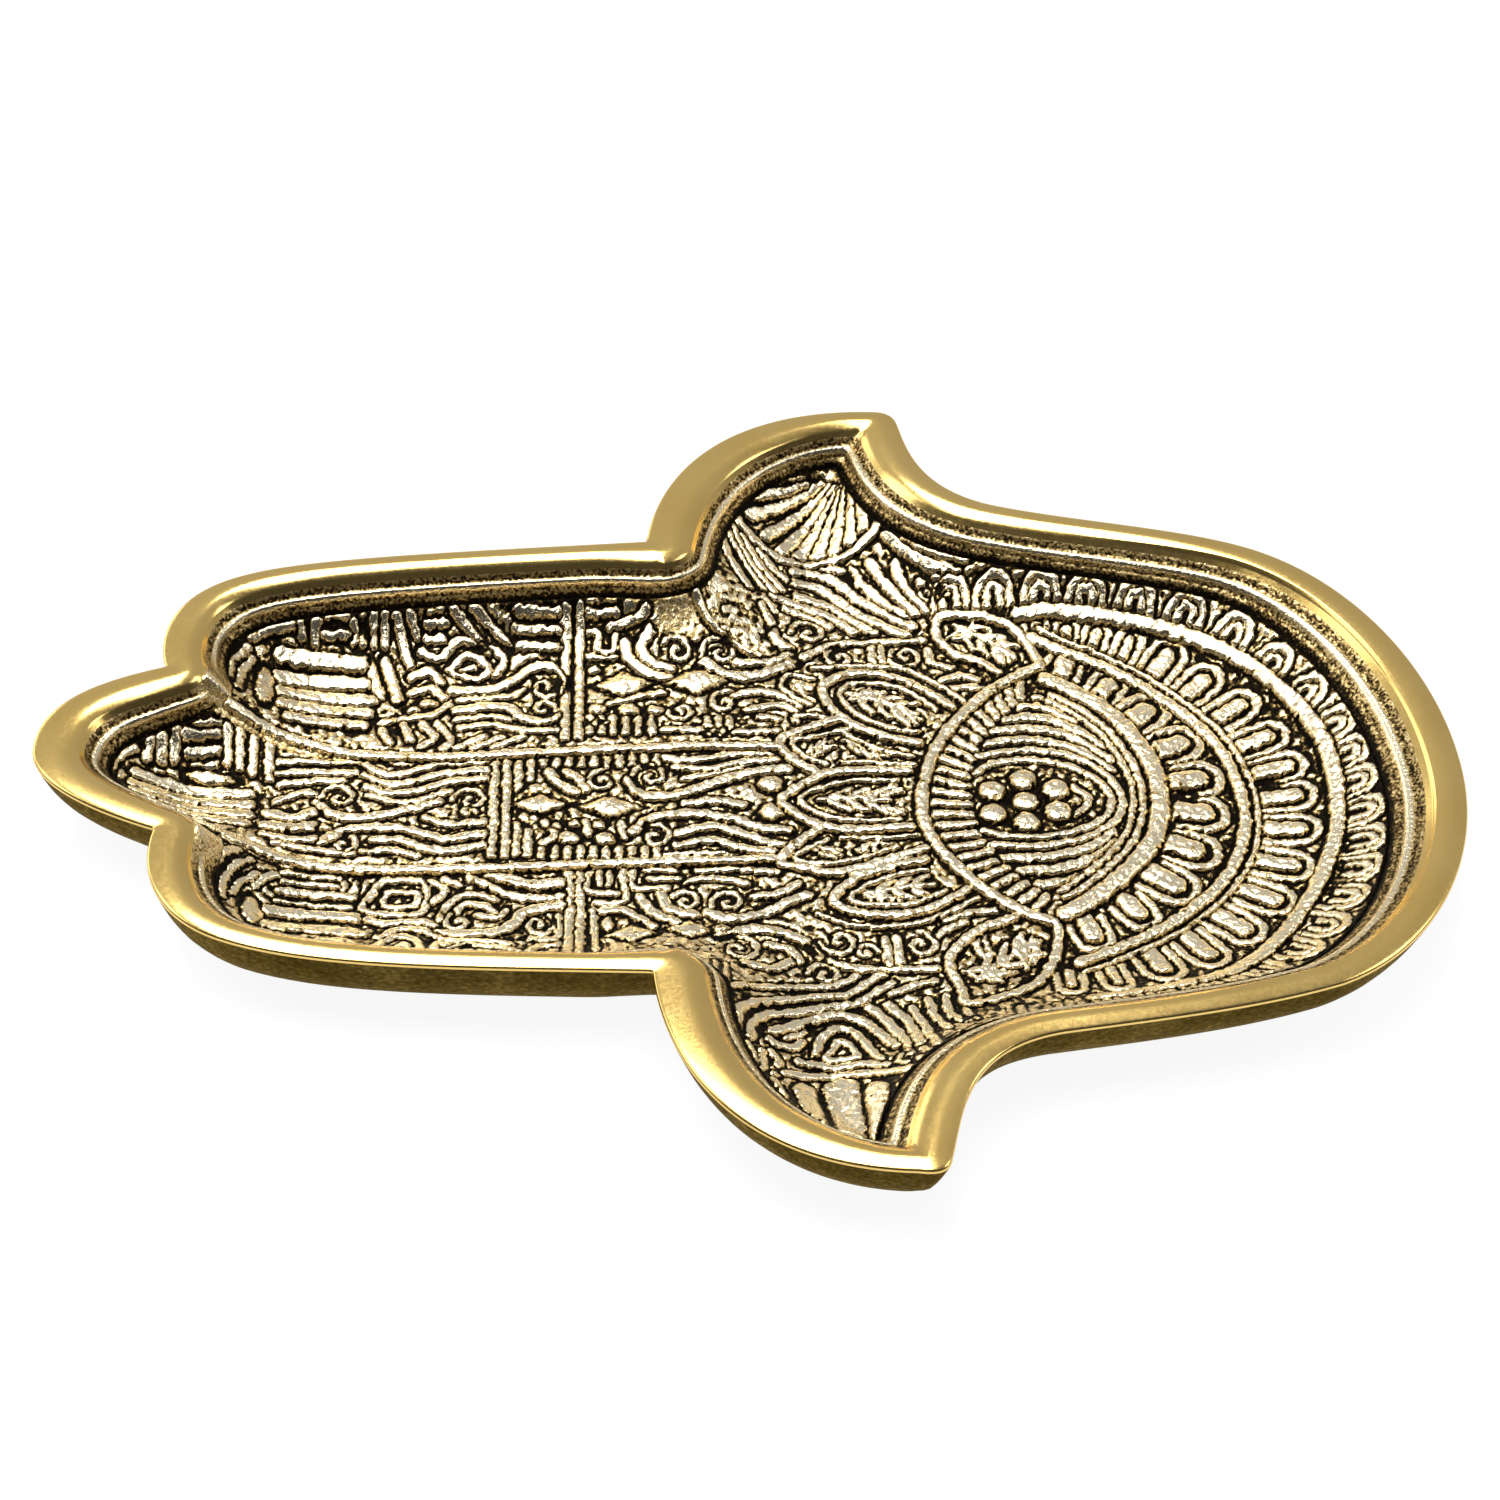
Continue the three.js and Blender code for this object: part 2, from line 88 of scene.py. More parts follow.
# Rim and wall are narrower along the sides of the hand than at its ends, and narrowest along
# the fingers, so distances in from the edge are counted longer there
SIDE_STRETCH = 1.35
FINGER_STRETCH = 1.17
FINGERS_BEGIN = (-122, -108)
FINGERS_END = (-34, -18)

# Cross-section: distance in from the edge, depth below the rim's top
UNDERSIDE = [(46, BASE_DEPTH), (37, BASE_DEPTH), (29, BASE_DEPTH)]
OUTER_WALL = [
    (26, 19.85), (21, 19.4), (17, 18.6), (14.2, 17.6), (11.6, 16.4), (9.4, 15), (7.6, 13.6), (6, 12),
    (4.6, 10.4), (3.3, 8.7), (2.35, 7.1), (1.55, 5.5), (1, 4.1), (0.55, 2.9), (0.25, 2), (0.08, 1.5),
    (0, 1.2),
]
RIM = [
    (0.02, 1.05), (0.1, 0.8), (0.25, 0.6), (0.5, 0.46), (1, 0.34), (1.8, 0.2), (2.8, 0.07), (3.7, 0),
    (4.4, 0.02), (5, 0.1), (5.6, 0.26), (6.2, 0.49), (6.8, 0.78), (7.2, 1.02), (7.6, 1.28),
]
WALL = [
    (7.6, 1.28), (8.8, 2.3), (10.1, 3.3), (11.2, 4.1), (12.6, 5.25), (14, 6.5), (15.5, 7.8), (17.5, 9.3),
    (20, 10.8), (22, 11.9), (25, 13.1), (28, 14.1), (32, 15), (36, 15.6), (44, 16.2),
]
DEEPEST = 16.2
RIM_WIDTH = RIM[-1][0]

# Grooves and the raised line of the wall: distance in, rise above the plain wall, brightness.
# They fade out beside the finger notches, where the wall is plain.
WALL_LINES = [
    (7.6, 0, 0.8), (8.4, 0, 0.57), (9.2, 0, 0.46), (10, -0.12, 0.36), (10.5, 0, 0.46), (10.9, 0.3, 0.84),
    (11.3, 0.5, 1), (11.8, 0.5, 0.96), (12.2, 0.1, 0.5), (12.6, -0.12, 0.38), (13.1, 0, 0.47),
    (13.5, 0, 0.42), (13.9, -0.2, 0.2), (14.6, -0.5, 0.1), (15.4, -0.5, 0.1),
]
RING_STEP = 0.2
PLAIN_WALL_TONE = 0.62
POLISHED_TO = 8.8
FINGER_NOTCHES = [(-118.7, 22.4), (-116.8, -23)]
NOTCH_REACH = (4, 11)
# Narrow fin that runs in from each of these notches: width at the rim and at the seam, rise, and
# the inset over which it begins
FIN_WIDTHS = (3.6, 1.9)
FIN_RISE = 1.4
FIN_INSET = (RIM_WIDTH, RIM_WIDTH + 2)
# The rim is wider at the fingertips and narrower at the wrist: places along the hand, share of its
# width. It is also wider on the finger side of the thumbs.
RIM_PLACES = (-125, -95, 60, 130)
RIM_SHARES = (1.18, 1.05, 1.0, 0.88)
THUMB_RIM_EXTRA = 0.24
THUMB_SIDE_Y = (58, 66)
THUMB_SIDE_X = (6, 24)
# Towards the wrist the rim stays flat for longer and its inner shoulder is sharper
WRIST_X = (70, 112)
WRIST_FLATNESS = 0.7
SHOULDER_INSET = (3.7, 5)
# The wall ends at the seam. The relief begins just outside it, a little sunk, and the body goes on
# under the relief: distance in, distance below the plain floor.
SEAM = 14.8
RELIEF_INSET = (SEAM - 0.2, SEAM + 0.9)
SHEET_EDGE = SEAM - 0.7
SUNK_INSET = (SEAM - 0.8, SEAM)
SUNK_DEPTH = 1.1
HIDDEN = [(15.6, 1.4), (18, 2.0), (26, 2.0), (36, 2.0)]
SHEET_THICKNESS = 1.2

# Crest of the two finger dividers, from the notch to the lotus
CRESTS = [
    [(-110, 19.8), (-104, 18.5), (-100, 17.5), (-95, 15.9), (-90, 14.6), (-84, 13.2), (-76, 12.2),
     (-63, 12), (-51, 12.9), (-37, 13.9), (-22, 15), (-10, 15.7), (4, 15.6)],
    [(-110, -13.4), (-105, -15.6), (-100, -16.8), (-94, -18.2), (-86, -19.2), (-76, -19.6), (-62, -19.2),
     (-52, -18.9), (-37, -18), (-22, -17.1), (-10, -16.6), (3, -16.1)],
]
# Smooth band beside each crest: where it begins and ends, over what length, and its width
FLANK_BEGIN = (-112, -108)
FLANK_END = (-90, -78)
FLANK_WIDTH = 3.4
FLANK_EDGE = 1
# Another smooth place, in the corner between the left finger and its thumb
SMOOTH_CORNER = (-15.5, 49.5)
SMOOTH_RADII = (2.5, 6)
SMOOTH_TONE = 0.58

# Relief: strokes are drawn a little wider than their centre lines were measured. Where two meet
# there is a thin crease, and the ground rises again beyond the narrow groove round each stroke.
WIDEN = 1.26
RAGGED = 0.13
FAR = 9.0
GROOVE = (0.42, 0.85)
GROOVE_REACH = 1.6
TOUCHING = (-1.1, -0.6)
APART = (0, 0.5)
CREASE = (0.25, 0.8)
CREASE_DEPTH = 0.7
# Rise of a line and of a bead: at no width, more for each millimetre of width, and the most
LINE_RISE = (0.4, 0.26, 1.2)
BEAD_RISE = (0.6, 0.3, 1.5)
# A curl's winding, its radius at the start and how much of it is lost to the end
CURL_POINTS = 26
CURL_WINDING = 0.8
CURL_RADII = (1.1, 0.96)
CURL_WIDTH = 0.95
# Scallops: gap at the end of a tongue, gap and width of an inner arch, as shares of the half width,
# and the inner ridge as a share of the outer one
TONGUE_GAP = 1.1
TONGUE_RISE = 1.25
INNER_GAP = 0.55
INNER_WIDTH = 0.4
INNER_RIDGE = 0.85
# Lashes: count, where the first stands and how far they reach along the lid, and the share of the
# way from the lid to the foot that each one covers
LASHES = 26
LASH_START = 0.05
LASH_SPAN = 0.93
LASH_SHARES = (0.2, 0.95)
LEFT_FINGER_Y = 35
# Main lines stand clear of the strokes round them
MAIN_CLEARANCE = (0, 0.8)
MAIN_TONE = (0, 0.3)
# Ground between the strokes: height, its evenness and waves, and how far blobs lighten or darken it
GROUND_HEIGHT = 0.6
GROUND_EVEN = 0.7
GROUND_WAVES = 0.3
BLOB_TONE = 0.3
# Its tone is painted lighter on the fingers and beside the wall and darker in the palm: painted highlight
# and shade for how the light falls there, over the ground's own brass tone
PALM_X = (36, 50)
GROUND_TONES_WITH_PAINTED_LIGHT = (0.66, 0.42)
THIRD_ROW_INSET = (21, 24)
# Dark pits, the grain of the sand and the smoothing of the floor under it
PITS = 0.5
PIT_GRAIN = (1.3, 2.1)
FINE_GRAIN = 0.05
COARSE_GRAIN = 0.03
FLOOR_BLUR = 3

# Where the relief is split into sheets
THUMB_Y = 50
THUMB_END_X = 40
FINGERS_END_X = 5
EYE_MIDDLE_X = 62
FINGER_SPLIT_Y = 16
# Times that a sheet is searched for cells that touch only at a corner
CORNER_PASSES = 3

# Felt pads: share of the radius, share of the thickness
PAD_SIDES = 96
PAD_FUZZ = 0.006
PAD_PROFILE = [
    (0.5, 0), (0.9, 0), (0.965, 0.03), (0.99, 0.14), (0.998, 0.4), (0.998, 0.7), (0.985, 0.92), (0.95, 1),
    (0.5, 1),
]

# Material places of the body
OUTSIDE, POLISHED, CARVED = 0, 1, 2


def run_lengths(path):
    """Distance along a path at each of its points."""
    return np.concatenate([[0], np.cumsum(np.hypot(*np.diff(path, axis=0).T))])


def resampled(path, spacing):
    """A path with points at even steps along it."""
    run = run_lengths(path)
    even = np.linspace(0, run[-1], max(2, round(run[-1] / spacing)) + 1)
    return np.column_stack([np.interp(even, run, path[:, k]) for k in (0, 1)])


def outline_points():
    """The whole outer edge, anticlockwise, evenly spaced on each curve."""
    t = np.linspace(0, 1, CURVE_POINTS)[:, None]
    sides = []
    for curves in (RIGHT_EDGE, LEFT_EDGE):
        point = np.array(FINGERTIP, float)
        side = [point]
        for handles in curves:
            a, b, end = (np.array(p, float) for p in handles)
            curve = (1 - t) ** 3 * point + 3 * (1 - t) ** 2 * t * a + 3 * (1 - t) * t**2 * b + t**3 * end
            side.extend(resampled(curve, SPACING)[1:])
            point = end
        sides.append(np.array(side))
    return np.vstack([sides[0][1:-1], sides[1][::-1]])


def window(x0, x1, y0, y1):
    """Grid slices that hold a plan box."""
    i0, i1 = np.searchsorted(XS, (x0, x1))
    j0, j1 = np.searchsorted(YS, (y0, y1))
    return np.s_[j0:j1, i0:i1]


def to_segment(x, y, p, q):
    """Distance squared from points to a segment, and the share along it."""
    d = q - p
    share = np.clip(((x - p[0]) * d[0] + (y - p[1]) * d[1]) / max(d @ d, 1e-9), 0, 1)
    return (x - p[0] - share * d[0]) ** 2 + (y - p[1] - share * d[1]) ** 2, share


def eased(value, low, high):
    """Smooth step from 0 at the low value to 1 at the high one."""
    t = np.clip((value - low) / (high - low), 0, 1)
    return t * t * (3 - 2 * t)


def inset_grid(edge):
    """Distance in from the edge at each grid point, negative outside and capped far in."""
    square = np.full(X.shape, float(REACH) ** 2)
    stretch = np.array((1, SIDE_STRETCH))
    for p, q in zip(edge, np.roll(edge, -1, 0)):
        low = np.minimum(p, q) - REACH
        high = np.maximum(p, q) + REACH
        part = window(low[0], high[0], low[1], high[1])
        away = to_segment(X[part], Y[part] * SIDE_STRETCH, p * stretch, q * stretch)[0]
        square[part] = np.minimum(square[part], away)
    fingers = eased(X, *FINGERS_BEGIN) * (1 - eased(X, *FINGERS_END))
    distance = np.sqrt(square) * (1 + (FINGER_STRETCH - 1) * fingers)
    angle = np.arctan2(edge[:, 1], edge[:, 0])
    radius = np.interp(np.arctan2(Y, X), angle, np.hypot(*edge.T), period=2 * math.pi)
    return np.where(np.hypot(X, Y) < radius, 1, -1) * distance


def sample(field, x, y):
    """Grid values between grid points."""
    u = np.clip((x - XS[0]) / STEP, 0, len(XS) - 1.001)
    v = np.clip((y - YS[0]) / STEP, 0, len(YS) - 1.001)
    i, j = u.astype(int), v.astype(int)
    u, v = u - i, v - j
    low = field[j, i] * (1 - u) + field[j, i + 1] * u
    high = field[j + 1, i] * (1 - u) + field[j + 1, i + 1] * u
    return low * (1 - v) + high * v


def inset_ring(inset):
    """The edge drawn in towards the middle by a distance."""
    if np.max(inset) <= 0:
        return EDGE.copy()
    outside, inside = np.ones(len(EDGE)), np.zeros(len(EDGE))
    for _ in range(HALVINGS):
        share = (outside + inside) / 2
        short = sample(INSET, EDGE[:, 0] * share, EDGE[:, 1] * share) < inset
        outside = np.where(short, share, outside)
        inside = np.where(short, inside, share)
    return EDGE * outside[:, None]


def wall_depth(inset):
    """Depth of the plain wall and floor."""
    insets, depths = zip(*WALL)
    return np.interp(inset, insets, depths)


XS = np.arange(*GRID_X, STEP)
YS = np.arange(*GRID_Y, STEP)
X, Y = np.meshgrid(XS, YS)
EDGE = outline_points()
INSET = inset_grid(EDGE)


def blurred(field, times):
    """A field smoothed a number of times over neighbouring grid points."""
    for _ in range(times):
        field = (np.roll(field, 1, 0) + 2 * field + np.roll(field, -1, 0)) / 4
        field = (np.roll(field, 1, 1) + 2 * field + np.roll(field, -1, 1)) / 4
    return field


def speckle(times):
    """Smoothed chance values of unit spread."""
    field = blurred(chance.normal(0, 1, X.shape), times)
    return field / field.std()


# Hand-cut strokes have slightly ragged edges
RAGGED_X = X + RAGGED * speckle(2)
RAGGED_Y = Y + RAGGED * speckle(2)


# Curves of the ornament
def flow(points):
    """Smooth curve through plan points."""
    p = np.asarray(points, float)
    if len(p) < 3:
        return p
    ends = np.vstack([2 * p[0] - p[1], p, 2 * p[-1] - p[-2]])
    t = np.linspace(0, 1, FLOW_STEPS + 1)[:-1, None]
    out = []
    for a, b, c, d in zip(ends, ends[1:], ends[2:], ends[3:]):
        bend, twist = 2 * a - 5 * b + 4 * c - d, 3 * b - a - 3 * c + d
        out.append(0.5 * (2 * b + (c - a) * t + bend * t**2 + twist * t**3))
    return np.vstack([*out, p[-1:]])


def along(path, share):
    """Point at a share of a path's length."""
    run = run_lengths(path)
    return np.array([np.interp(share * run[-1], run, path[:, k]) for k in (0, 1)])


def offset(path, distance):
    """A path moved sideways, to the right of its direction when the distance is positive."""
    d = np.gradient(path, axis=0)
    d /= np.hypot(*d.T)[:, None]
    return path + distance * np.column_stack([d[:, 1], -d[:, 0]])


def placed(points, x, y, angle):
    """Local plan points turned by an angle in degrees and moved to a place."""
    a = math.radians(angle)
    u, v = np.asarray(points, float).T
    return np.column_stack([x + u * math.cos(a) - v * math.sin(a), y + u * math.sin(a) + v * math.cos(a)])


def bearing(x, y, centre_x, centre_y=0):
    """Direction from a centre to a place, in degrees."""
    return math.degrees(math.atan2(y - centre_y, x - centre_x))


def round_end(half_length, half_width):
    """Outline of a bar with one round end, open at the other."""
    h, w = half_length, half_width
    slant = math.sqrt(0.5) * w
    return [
        (-h, -w), (h - w, -w), (h - w + slant, -slant), (h, 0),
        (h - w + slant, slant), (h - w, w), (-h, w),
    ]


def turned_window(x, y, turn, room):
    """Grid slices round a place, and the ragged coordinates there, turned by an angle in degrees."""
    part = window(x - room, x + room, y - room, y + room)
    a = math.radians(turn)
    u, v = RAGGED_X[part] - x, RAGGED_Y[part] - y
    return part, u * math.cos(a) + v * math.sin(a), v * math.cos(a) - u * math.sin(a)


def rise_of(size, least, more, most):
    """Rise that grows with a stroke's size."""
    return min(least + more * size, most)


class Relief:
    """Height of the strokes, how far each point is up its stroke, and the way to the two nearest."""

    def __init__(self):
        self.height = np.zeros(X.shape)
        self.tone = np.zeros(X.shape)
        self.gap = np.full(X.shape, FAR)
        self.second_gap = np.full(X.shape, FAR)

    def raise_part(self, part, square, half, height, flat, parted=True):
        """Adds a stroke. Square is 1 at its edge, and a higher flat number makes its top flatter."""
        rise = np.sqrt(np.clip(1 - square ** (flat / 2), 0, 1))
        away = (np.sqrt(square) - 1) * half
        self.height[part] = np.maximum(self.height[part], height * rise)
        self.tone[part] = np.maximum(self.tone[part], rise)
        if parted:
            self.second_gap[part] = np.minimum(self.second_gap[part], np.maximum(self.gap[part], away))
        self.gap[part] = np.minimum(self.gap[part], away)

    def creases(self):
        """Thin lines half-way between strokes that touch."""
        touch = eased(self.second_gap, *TOUCHING) * (1 - eased(self.second_gap, *APART))
        return touch * (1 - eased(self.second_gap - self.gap, *CREASE))

    def line(self, points, width, height=None, end=None, straight=False, flat=4.4, parted=True):
        """Rounded ridge along a path, thinning or widening to the end width."""
        path = np.asarray(points, float) if straight else flow(points)
        height = height or rise_of(width, *LINE_RISE)
        half = WIDEN * np.linspace(width / 2, (end or width) / 2, len(path))
        room = half.max() + GROOVE_REACH
        low, high = path.min(0) - room, path.max(0) + room
        part = window(low[0], high[0], low[1], high[1])
        x, y = RAGGED_X[part], RAGGED_Y[part]
        square = np.full(x.shape, np.inf)
        reach = np.full(x.shape, half[0])
        for p, q, a, b in zip(path, path[1:], half, half[1:]):
            away, share = to_segment(x, y, p, q)
            here = a + (b - a) * share
            closer = away / here**2 < square
            square = np.where(closer, away / here**2, square)
            reach = np.where(closer, here, reach)
        self.raise_part(part, square, reach, height, flat, parted)

    def lines(self, strokes, axis=0):
        """Ridges given by their points, measured from an axis along the hand, and their width."""
        for points, width in strokes:
            self.line(np.array(points) + (0, axis), width)

    def bead(self, x, y, rx, ry=None, turn=0, height=None):
        """Rounded bump, round or oval."""
        ry = ry or rx
        part, u, v = turned_window(x, y, turn, max(rx, ry) + GROOVE_REACH)
        height = height or rise_of(min(rx, ry), *BEAD_RISE)
        self.raise_part(part, (u / rx) ** 2 + (v / ry) ** 2, min(rx, ry), height, flat=3)

    def beads(self, places, axis=0):
        """Oval bumps: place, half length and half width."""
        for x, y, rx, ry in places:
            self.bead(x, axis + y, rx, ry)

    def curls(self, places, axis=0):
        """Spirals: place, radius, start angle and turns, which wind in anticlockwise if positive."""
        t = np.linspace(0, 1, CURL_POINTS)
        first, lost = CURL_RADII
        for x, y, radius, start, turns in places:
            angle = math.radians(start) + t * CURL_WINDING * turns * 2 * math.pi
            r = radius * (first - lost * t)
            spiral = np.column_stack([x + r * np.cos(angle), axis + y + r * np.sin(angle)])
            self.line(spiral, CURL_WIDTH, straight=True)

    def lozenge(self, x, y, half_x, half_y, turn=0):
        """Raised diamond with a sunk edge."""
        part, u, v = turned_window(x, y, turn, half_x + GROOVE_REACH)
        square = (np.abs(u) / half_x + np.abs(v) / half_y) ** 2
        self.raise_part(part, square, half_y, height=1.25, flat=2.4)

    def arch(self, x, y, angle, length, width, ridge, tongue=0):
        """Scallop: a round-ended arch with a solid tongue or a smaller arch inside."""
        h, w = length / 2, width / 2
        self.line(placed(round_end(h, w), x, y, angle), ridge)
        if tongue:
            self.line(placed([(-h, 0), (h - TONGUE_GAP * w, 0)], x, y, angle), tongue, TONGUE_RISE)
        else:
            inner = round_end(h - INNER_GAP * w, INNER_WIDTH * w)
            self.line(placed(inner, x, y, angle), ridge * INNER_RIDGE)


def draw_eye(r, top):
    """Lids, lashes, the lines round the iris and its beads."""
    lid_left = flow([
        (60.2, 39.6), (56, 37.3), (51.3, 34), (47.1, 29.8), (42.9, 24.7), (39.2, 19.1), (36.4, 13),
        (34.5, 6.5), (33.6, 0), (33.8, -5.6), (35.4, -10.8), (37.8, -15.4), (41, -20.1), (45.2, -24.8),
        (50.8, -29.4), (57.6, -32.9),
    ])
    lash_foot = flow([
        (58, 33), (52.7, 26.2), (49.9, 22.4), (47.1, 18.2), (44.8, 12.1), (43.6, 6.5), (43.4, 0.4),
        (44.5, -7.5), (47.1, -14), (51.3, -20.1), (56.4, -25.2), (60.2, -28),
    ])
    lid_right = flow([
        (61.5, 36), (66.7, 32.7), (72.3, 28), (77, 21.5), (80.3, 14), (81.9, 6.5), (81.9, 0), (80.7, -6.1),
        (78.9, -11.2), (75.1, -16.8), (70.5, -22), (64.9, -27.1), (60, -30.5),
    ])
    top.line(lid_left, 2.2, 1.3, straight=True, flat=3.4)
    top.line(lid_right, 3.4, 1.4, straight=True, flat=3.4)
    for inward, width in ((3.5, 1.3), (5.5, 1.1)):
        top.line(offset(lid_right[4:-4], inward), width, 0.9, straight=True)
    for i in range(LASHES):
        share = LASH_START + LASH_SPAN * i / (LASHES - 1)
        a, b = along(lid_left, share), along(lash_foot, share)
        r.line([a + (b - a) * part for part in LASH_SHARES], 1.75, height=0.95, straight=True, flat=3.2)
    r.lines([
        ([(44.8, 8.4), (48.5, 11), (56, 12.4), (64.5, 10.4), (70.4, 5.8), (72, 0.6), (69.4, -4.6),
          (62, -8.4), (52.7, -9.6), (45.4, -7.8)], 1.4),
        ([(46, 13.4), (57, 15.2), (66.5, 12.7), (72.6, 6.8), (74.3, 0.4), (71.6, -5.6), (65, -9.9),
          (56, -12), (46.6, -11.6)], 1.5),
        ([(47.6, 17), (57, 18.2), (66.7, 15.4), (73, 9.5)], 1.7),
        ([(49.6, 20.6), (58.3, 21.4), (67.7, 17.9), (72.7, 12.5)], 1.9),
        ([(52, 24), (59.3, 24.6), (67, 20.8), (71.3, 16)], 2.0),
        ([(55.5, 27.8), (60.5, 27.6), (66.4, 23.8)], 1.8),
        ([(59, 31), (62.5, 29.4), (65.5, 26.8)], 1.4),
        ([(49, -15.4), (57.4, -15), (66.7, -12.2), (71.4, -8)], 2.0),
        ([(52, -19), (60, -18.2), (68, -14.6), (71.6, -10.6)], 2.1),
        ([(55.5, -22.6), (62, -21.2), (68.6, -17.2)], 2.0),
        ([(59, -26), (63.5, -24.3), (67, -20.8)], 1.9),
        ([(64.6, 4.8), (67.6, 1), (64.6, -3.2)], 1.3),
    ])
    for x, y, radius in [
        (54.6, 0.3, 2.8), (54.6, 6.4, 2.9), (61, 3.7, 3), (61, -2.6, 3), (54.3, -5.6, 2.9),
        (47.8, -3.2, 2.9), (48, 3.2, 2.9),
    ]:
        r.bead(x, y, radius, height=1.5)


def draw_rings(r, top):
    """Rings round the eye and the three rows of scallops."""
    ring_b = flow([
        (59.6, 47.6), (63.3, 45.1), (71.7, 40.9), (80, 35.5), (87.5, 28), (92.9, 20.9), (96.3, 13.8),
        (98, 6.3), (98.7, -0.3), (97.9, -7.8), (95.8, -14.5), (92.1, -21.2), (86.7, -27.4), (80, -33.2),
        (73.3, -37.4), (66.7, -41.2), (61.2, -43.8),
    ])
    ring_a = flow([
        (56.7, 53), (63.3, 53.3), (70, 52.3), (76.7, 51), (85, 48.7), (93.3, 45.3), (100.8, 40.1),
        (107.1, 33), (112.1, 24.7), (115.7, 15.5), (116.9, 7.2), (117.1, 1.3), (116.3, -7), (114.2, -14.9),
        (110, -24.5), (105, -32.8), (99.2, -40.3), (92.9, -46.2), (87.5, -49.9), (80, -52.8), (70, -55.3),
        (62.5, -56.6),
    ])
    top.line(ring_b, 2.2, 1.2, straight=True, flat=3.4)
    top.line(offset(ring_b, -2.7), 1.0, 0.9, straight=True)
    top.line(ring_a, 2.7, 1.3, straight=True, flat=3.4)
    first = [
        (65.8, 40.2), (74.2, 33.9), (80.8, 26), (86.5, 16.8), (89.2, 6.8), (89.2, -2.6), (86.5, -12.8),
        (81.4, -22), (74, -29.5), (64.6, -35.3),
    ]
    for k, (x, y) in enumerate(first):
        small = 0.8 if k in (0, 1, 8, 9) else 1
        angle = bearing(x, y, 52, 1.6)
        x, y = placed([(0.7, 0)], x, y, angle)[0]
        r.arch(x, y, angle, length=10 * small, width=8.8 * small, ridge=1.7 * small, tongue=4.2 * small)
    second = [
        (60.6, 50), (66.7, 48), (72.6, 46.4), (79.2, 44.2), (86.7, 40.8), (93.3, 33.8), (99.6, 26.3),
        (104.2, 17.3), (106.7, 8.8), (107.5, 0.9), (107.1, -8.2), (104.6, -17.8), (100, -26.6),
        (93.3, -33.9), (85.8, -40.6), (77.1, -45.3), (67.9, -49), (59.2, -50),
    ]
    for k, (x, y) in enumerate(second):
        shorter = 0.6 + 0.4 * min(1, k / 4, (17 - k) / 3)
        width, tongue = (7.2, 3.2) if 4 <= k <= 15 else (5, 1.8)
        r.arch(x, y, bearing(x, y, 58), length=10.8 * shorter, width=width, ridge=1.5, tongue=tongue)
    third = [
        (42.6, 58.6), (51.8, 58), (61.7, 57.2), (71.3, 55.9), (81.7, 53.9), (92.2, 50.6), (101.6, 44.8),
        (108.8, 36), (114.6, 26.8), (119.2, 16.8), (120.9, 8.6), (121.4, 0.6), (121.7, -7.6),
        (120.8, -15.8), (118.6, -23.6), (115, -30.6), (110, -38.2), (104.2, -44.6), (96.7, -51),
        (88, -55.4), (79, -58.6), (70, -60.8), (61, -62.4), (52, -63.2),
    ]
    for x, y in third:
        angle = bearing(x, y, 60) if x > 66 else math.copysign(90, y)
        x, y = placed([(-0.9, 0)], x, y, angle)[0]
        r.arch(x, y, angle, length=7.8, width=6.9, ridge=1.5)


def sprig(r, x, y, angle, size):
    """Stem with pairs of small leaves."""
    width = min(max(0.26 * size, 0.8), 1.6)
    thin = 0.7 * width
    r.line(placed([(-size, 0), (0, 0.5), (size, 0)], x, y, angle), thin, height=0.9, parted=False)
    for u in (-0.6, -0.1, 0.4):
        for side in (1, -1):
            bend, tip = (size * (u + 0.18), side * size * 0.26), (size * (u + 0.5), side * size * 0.42)
            leaf = placed([(size * u, side * 0.6), bend, tip], x, y, angle)
            r.line(leaf, width, height=0.9, end=thin, parted=False)


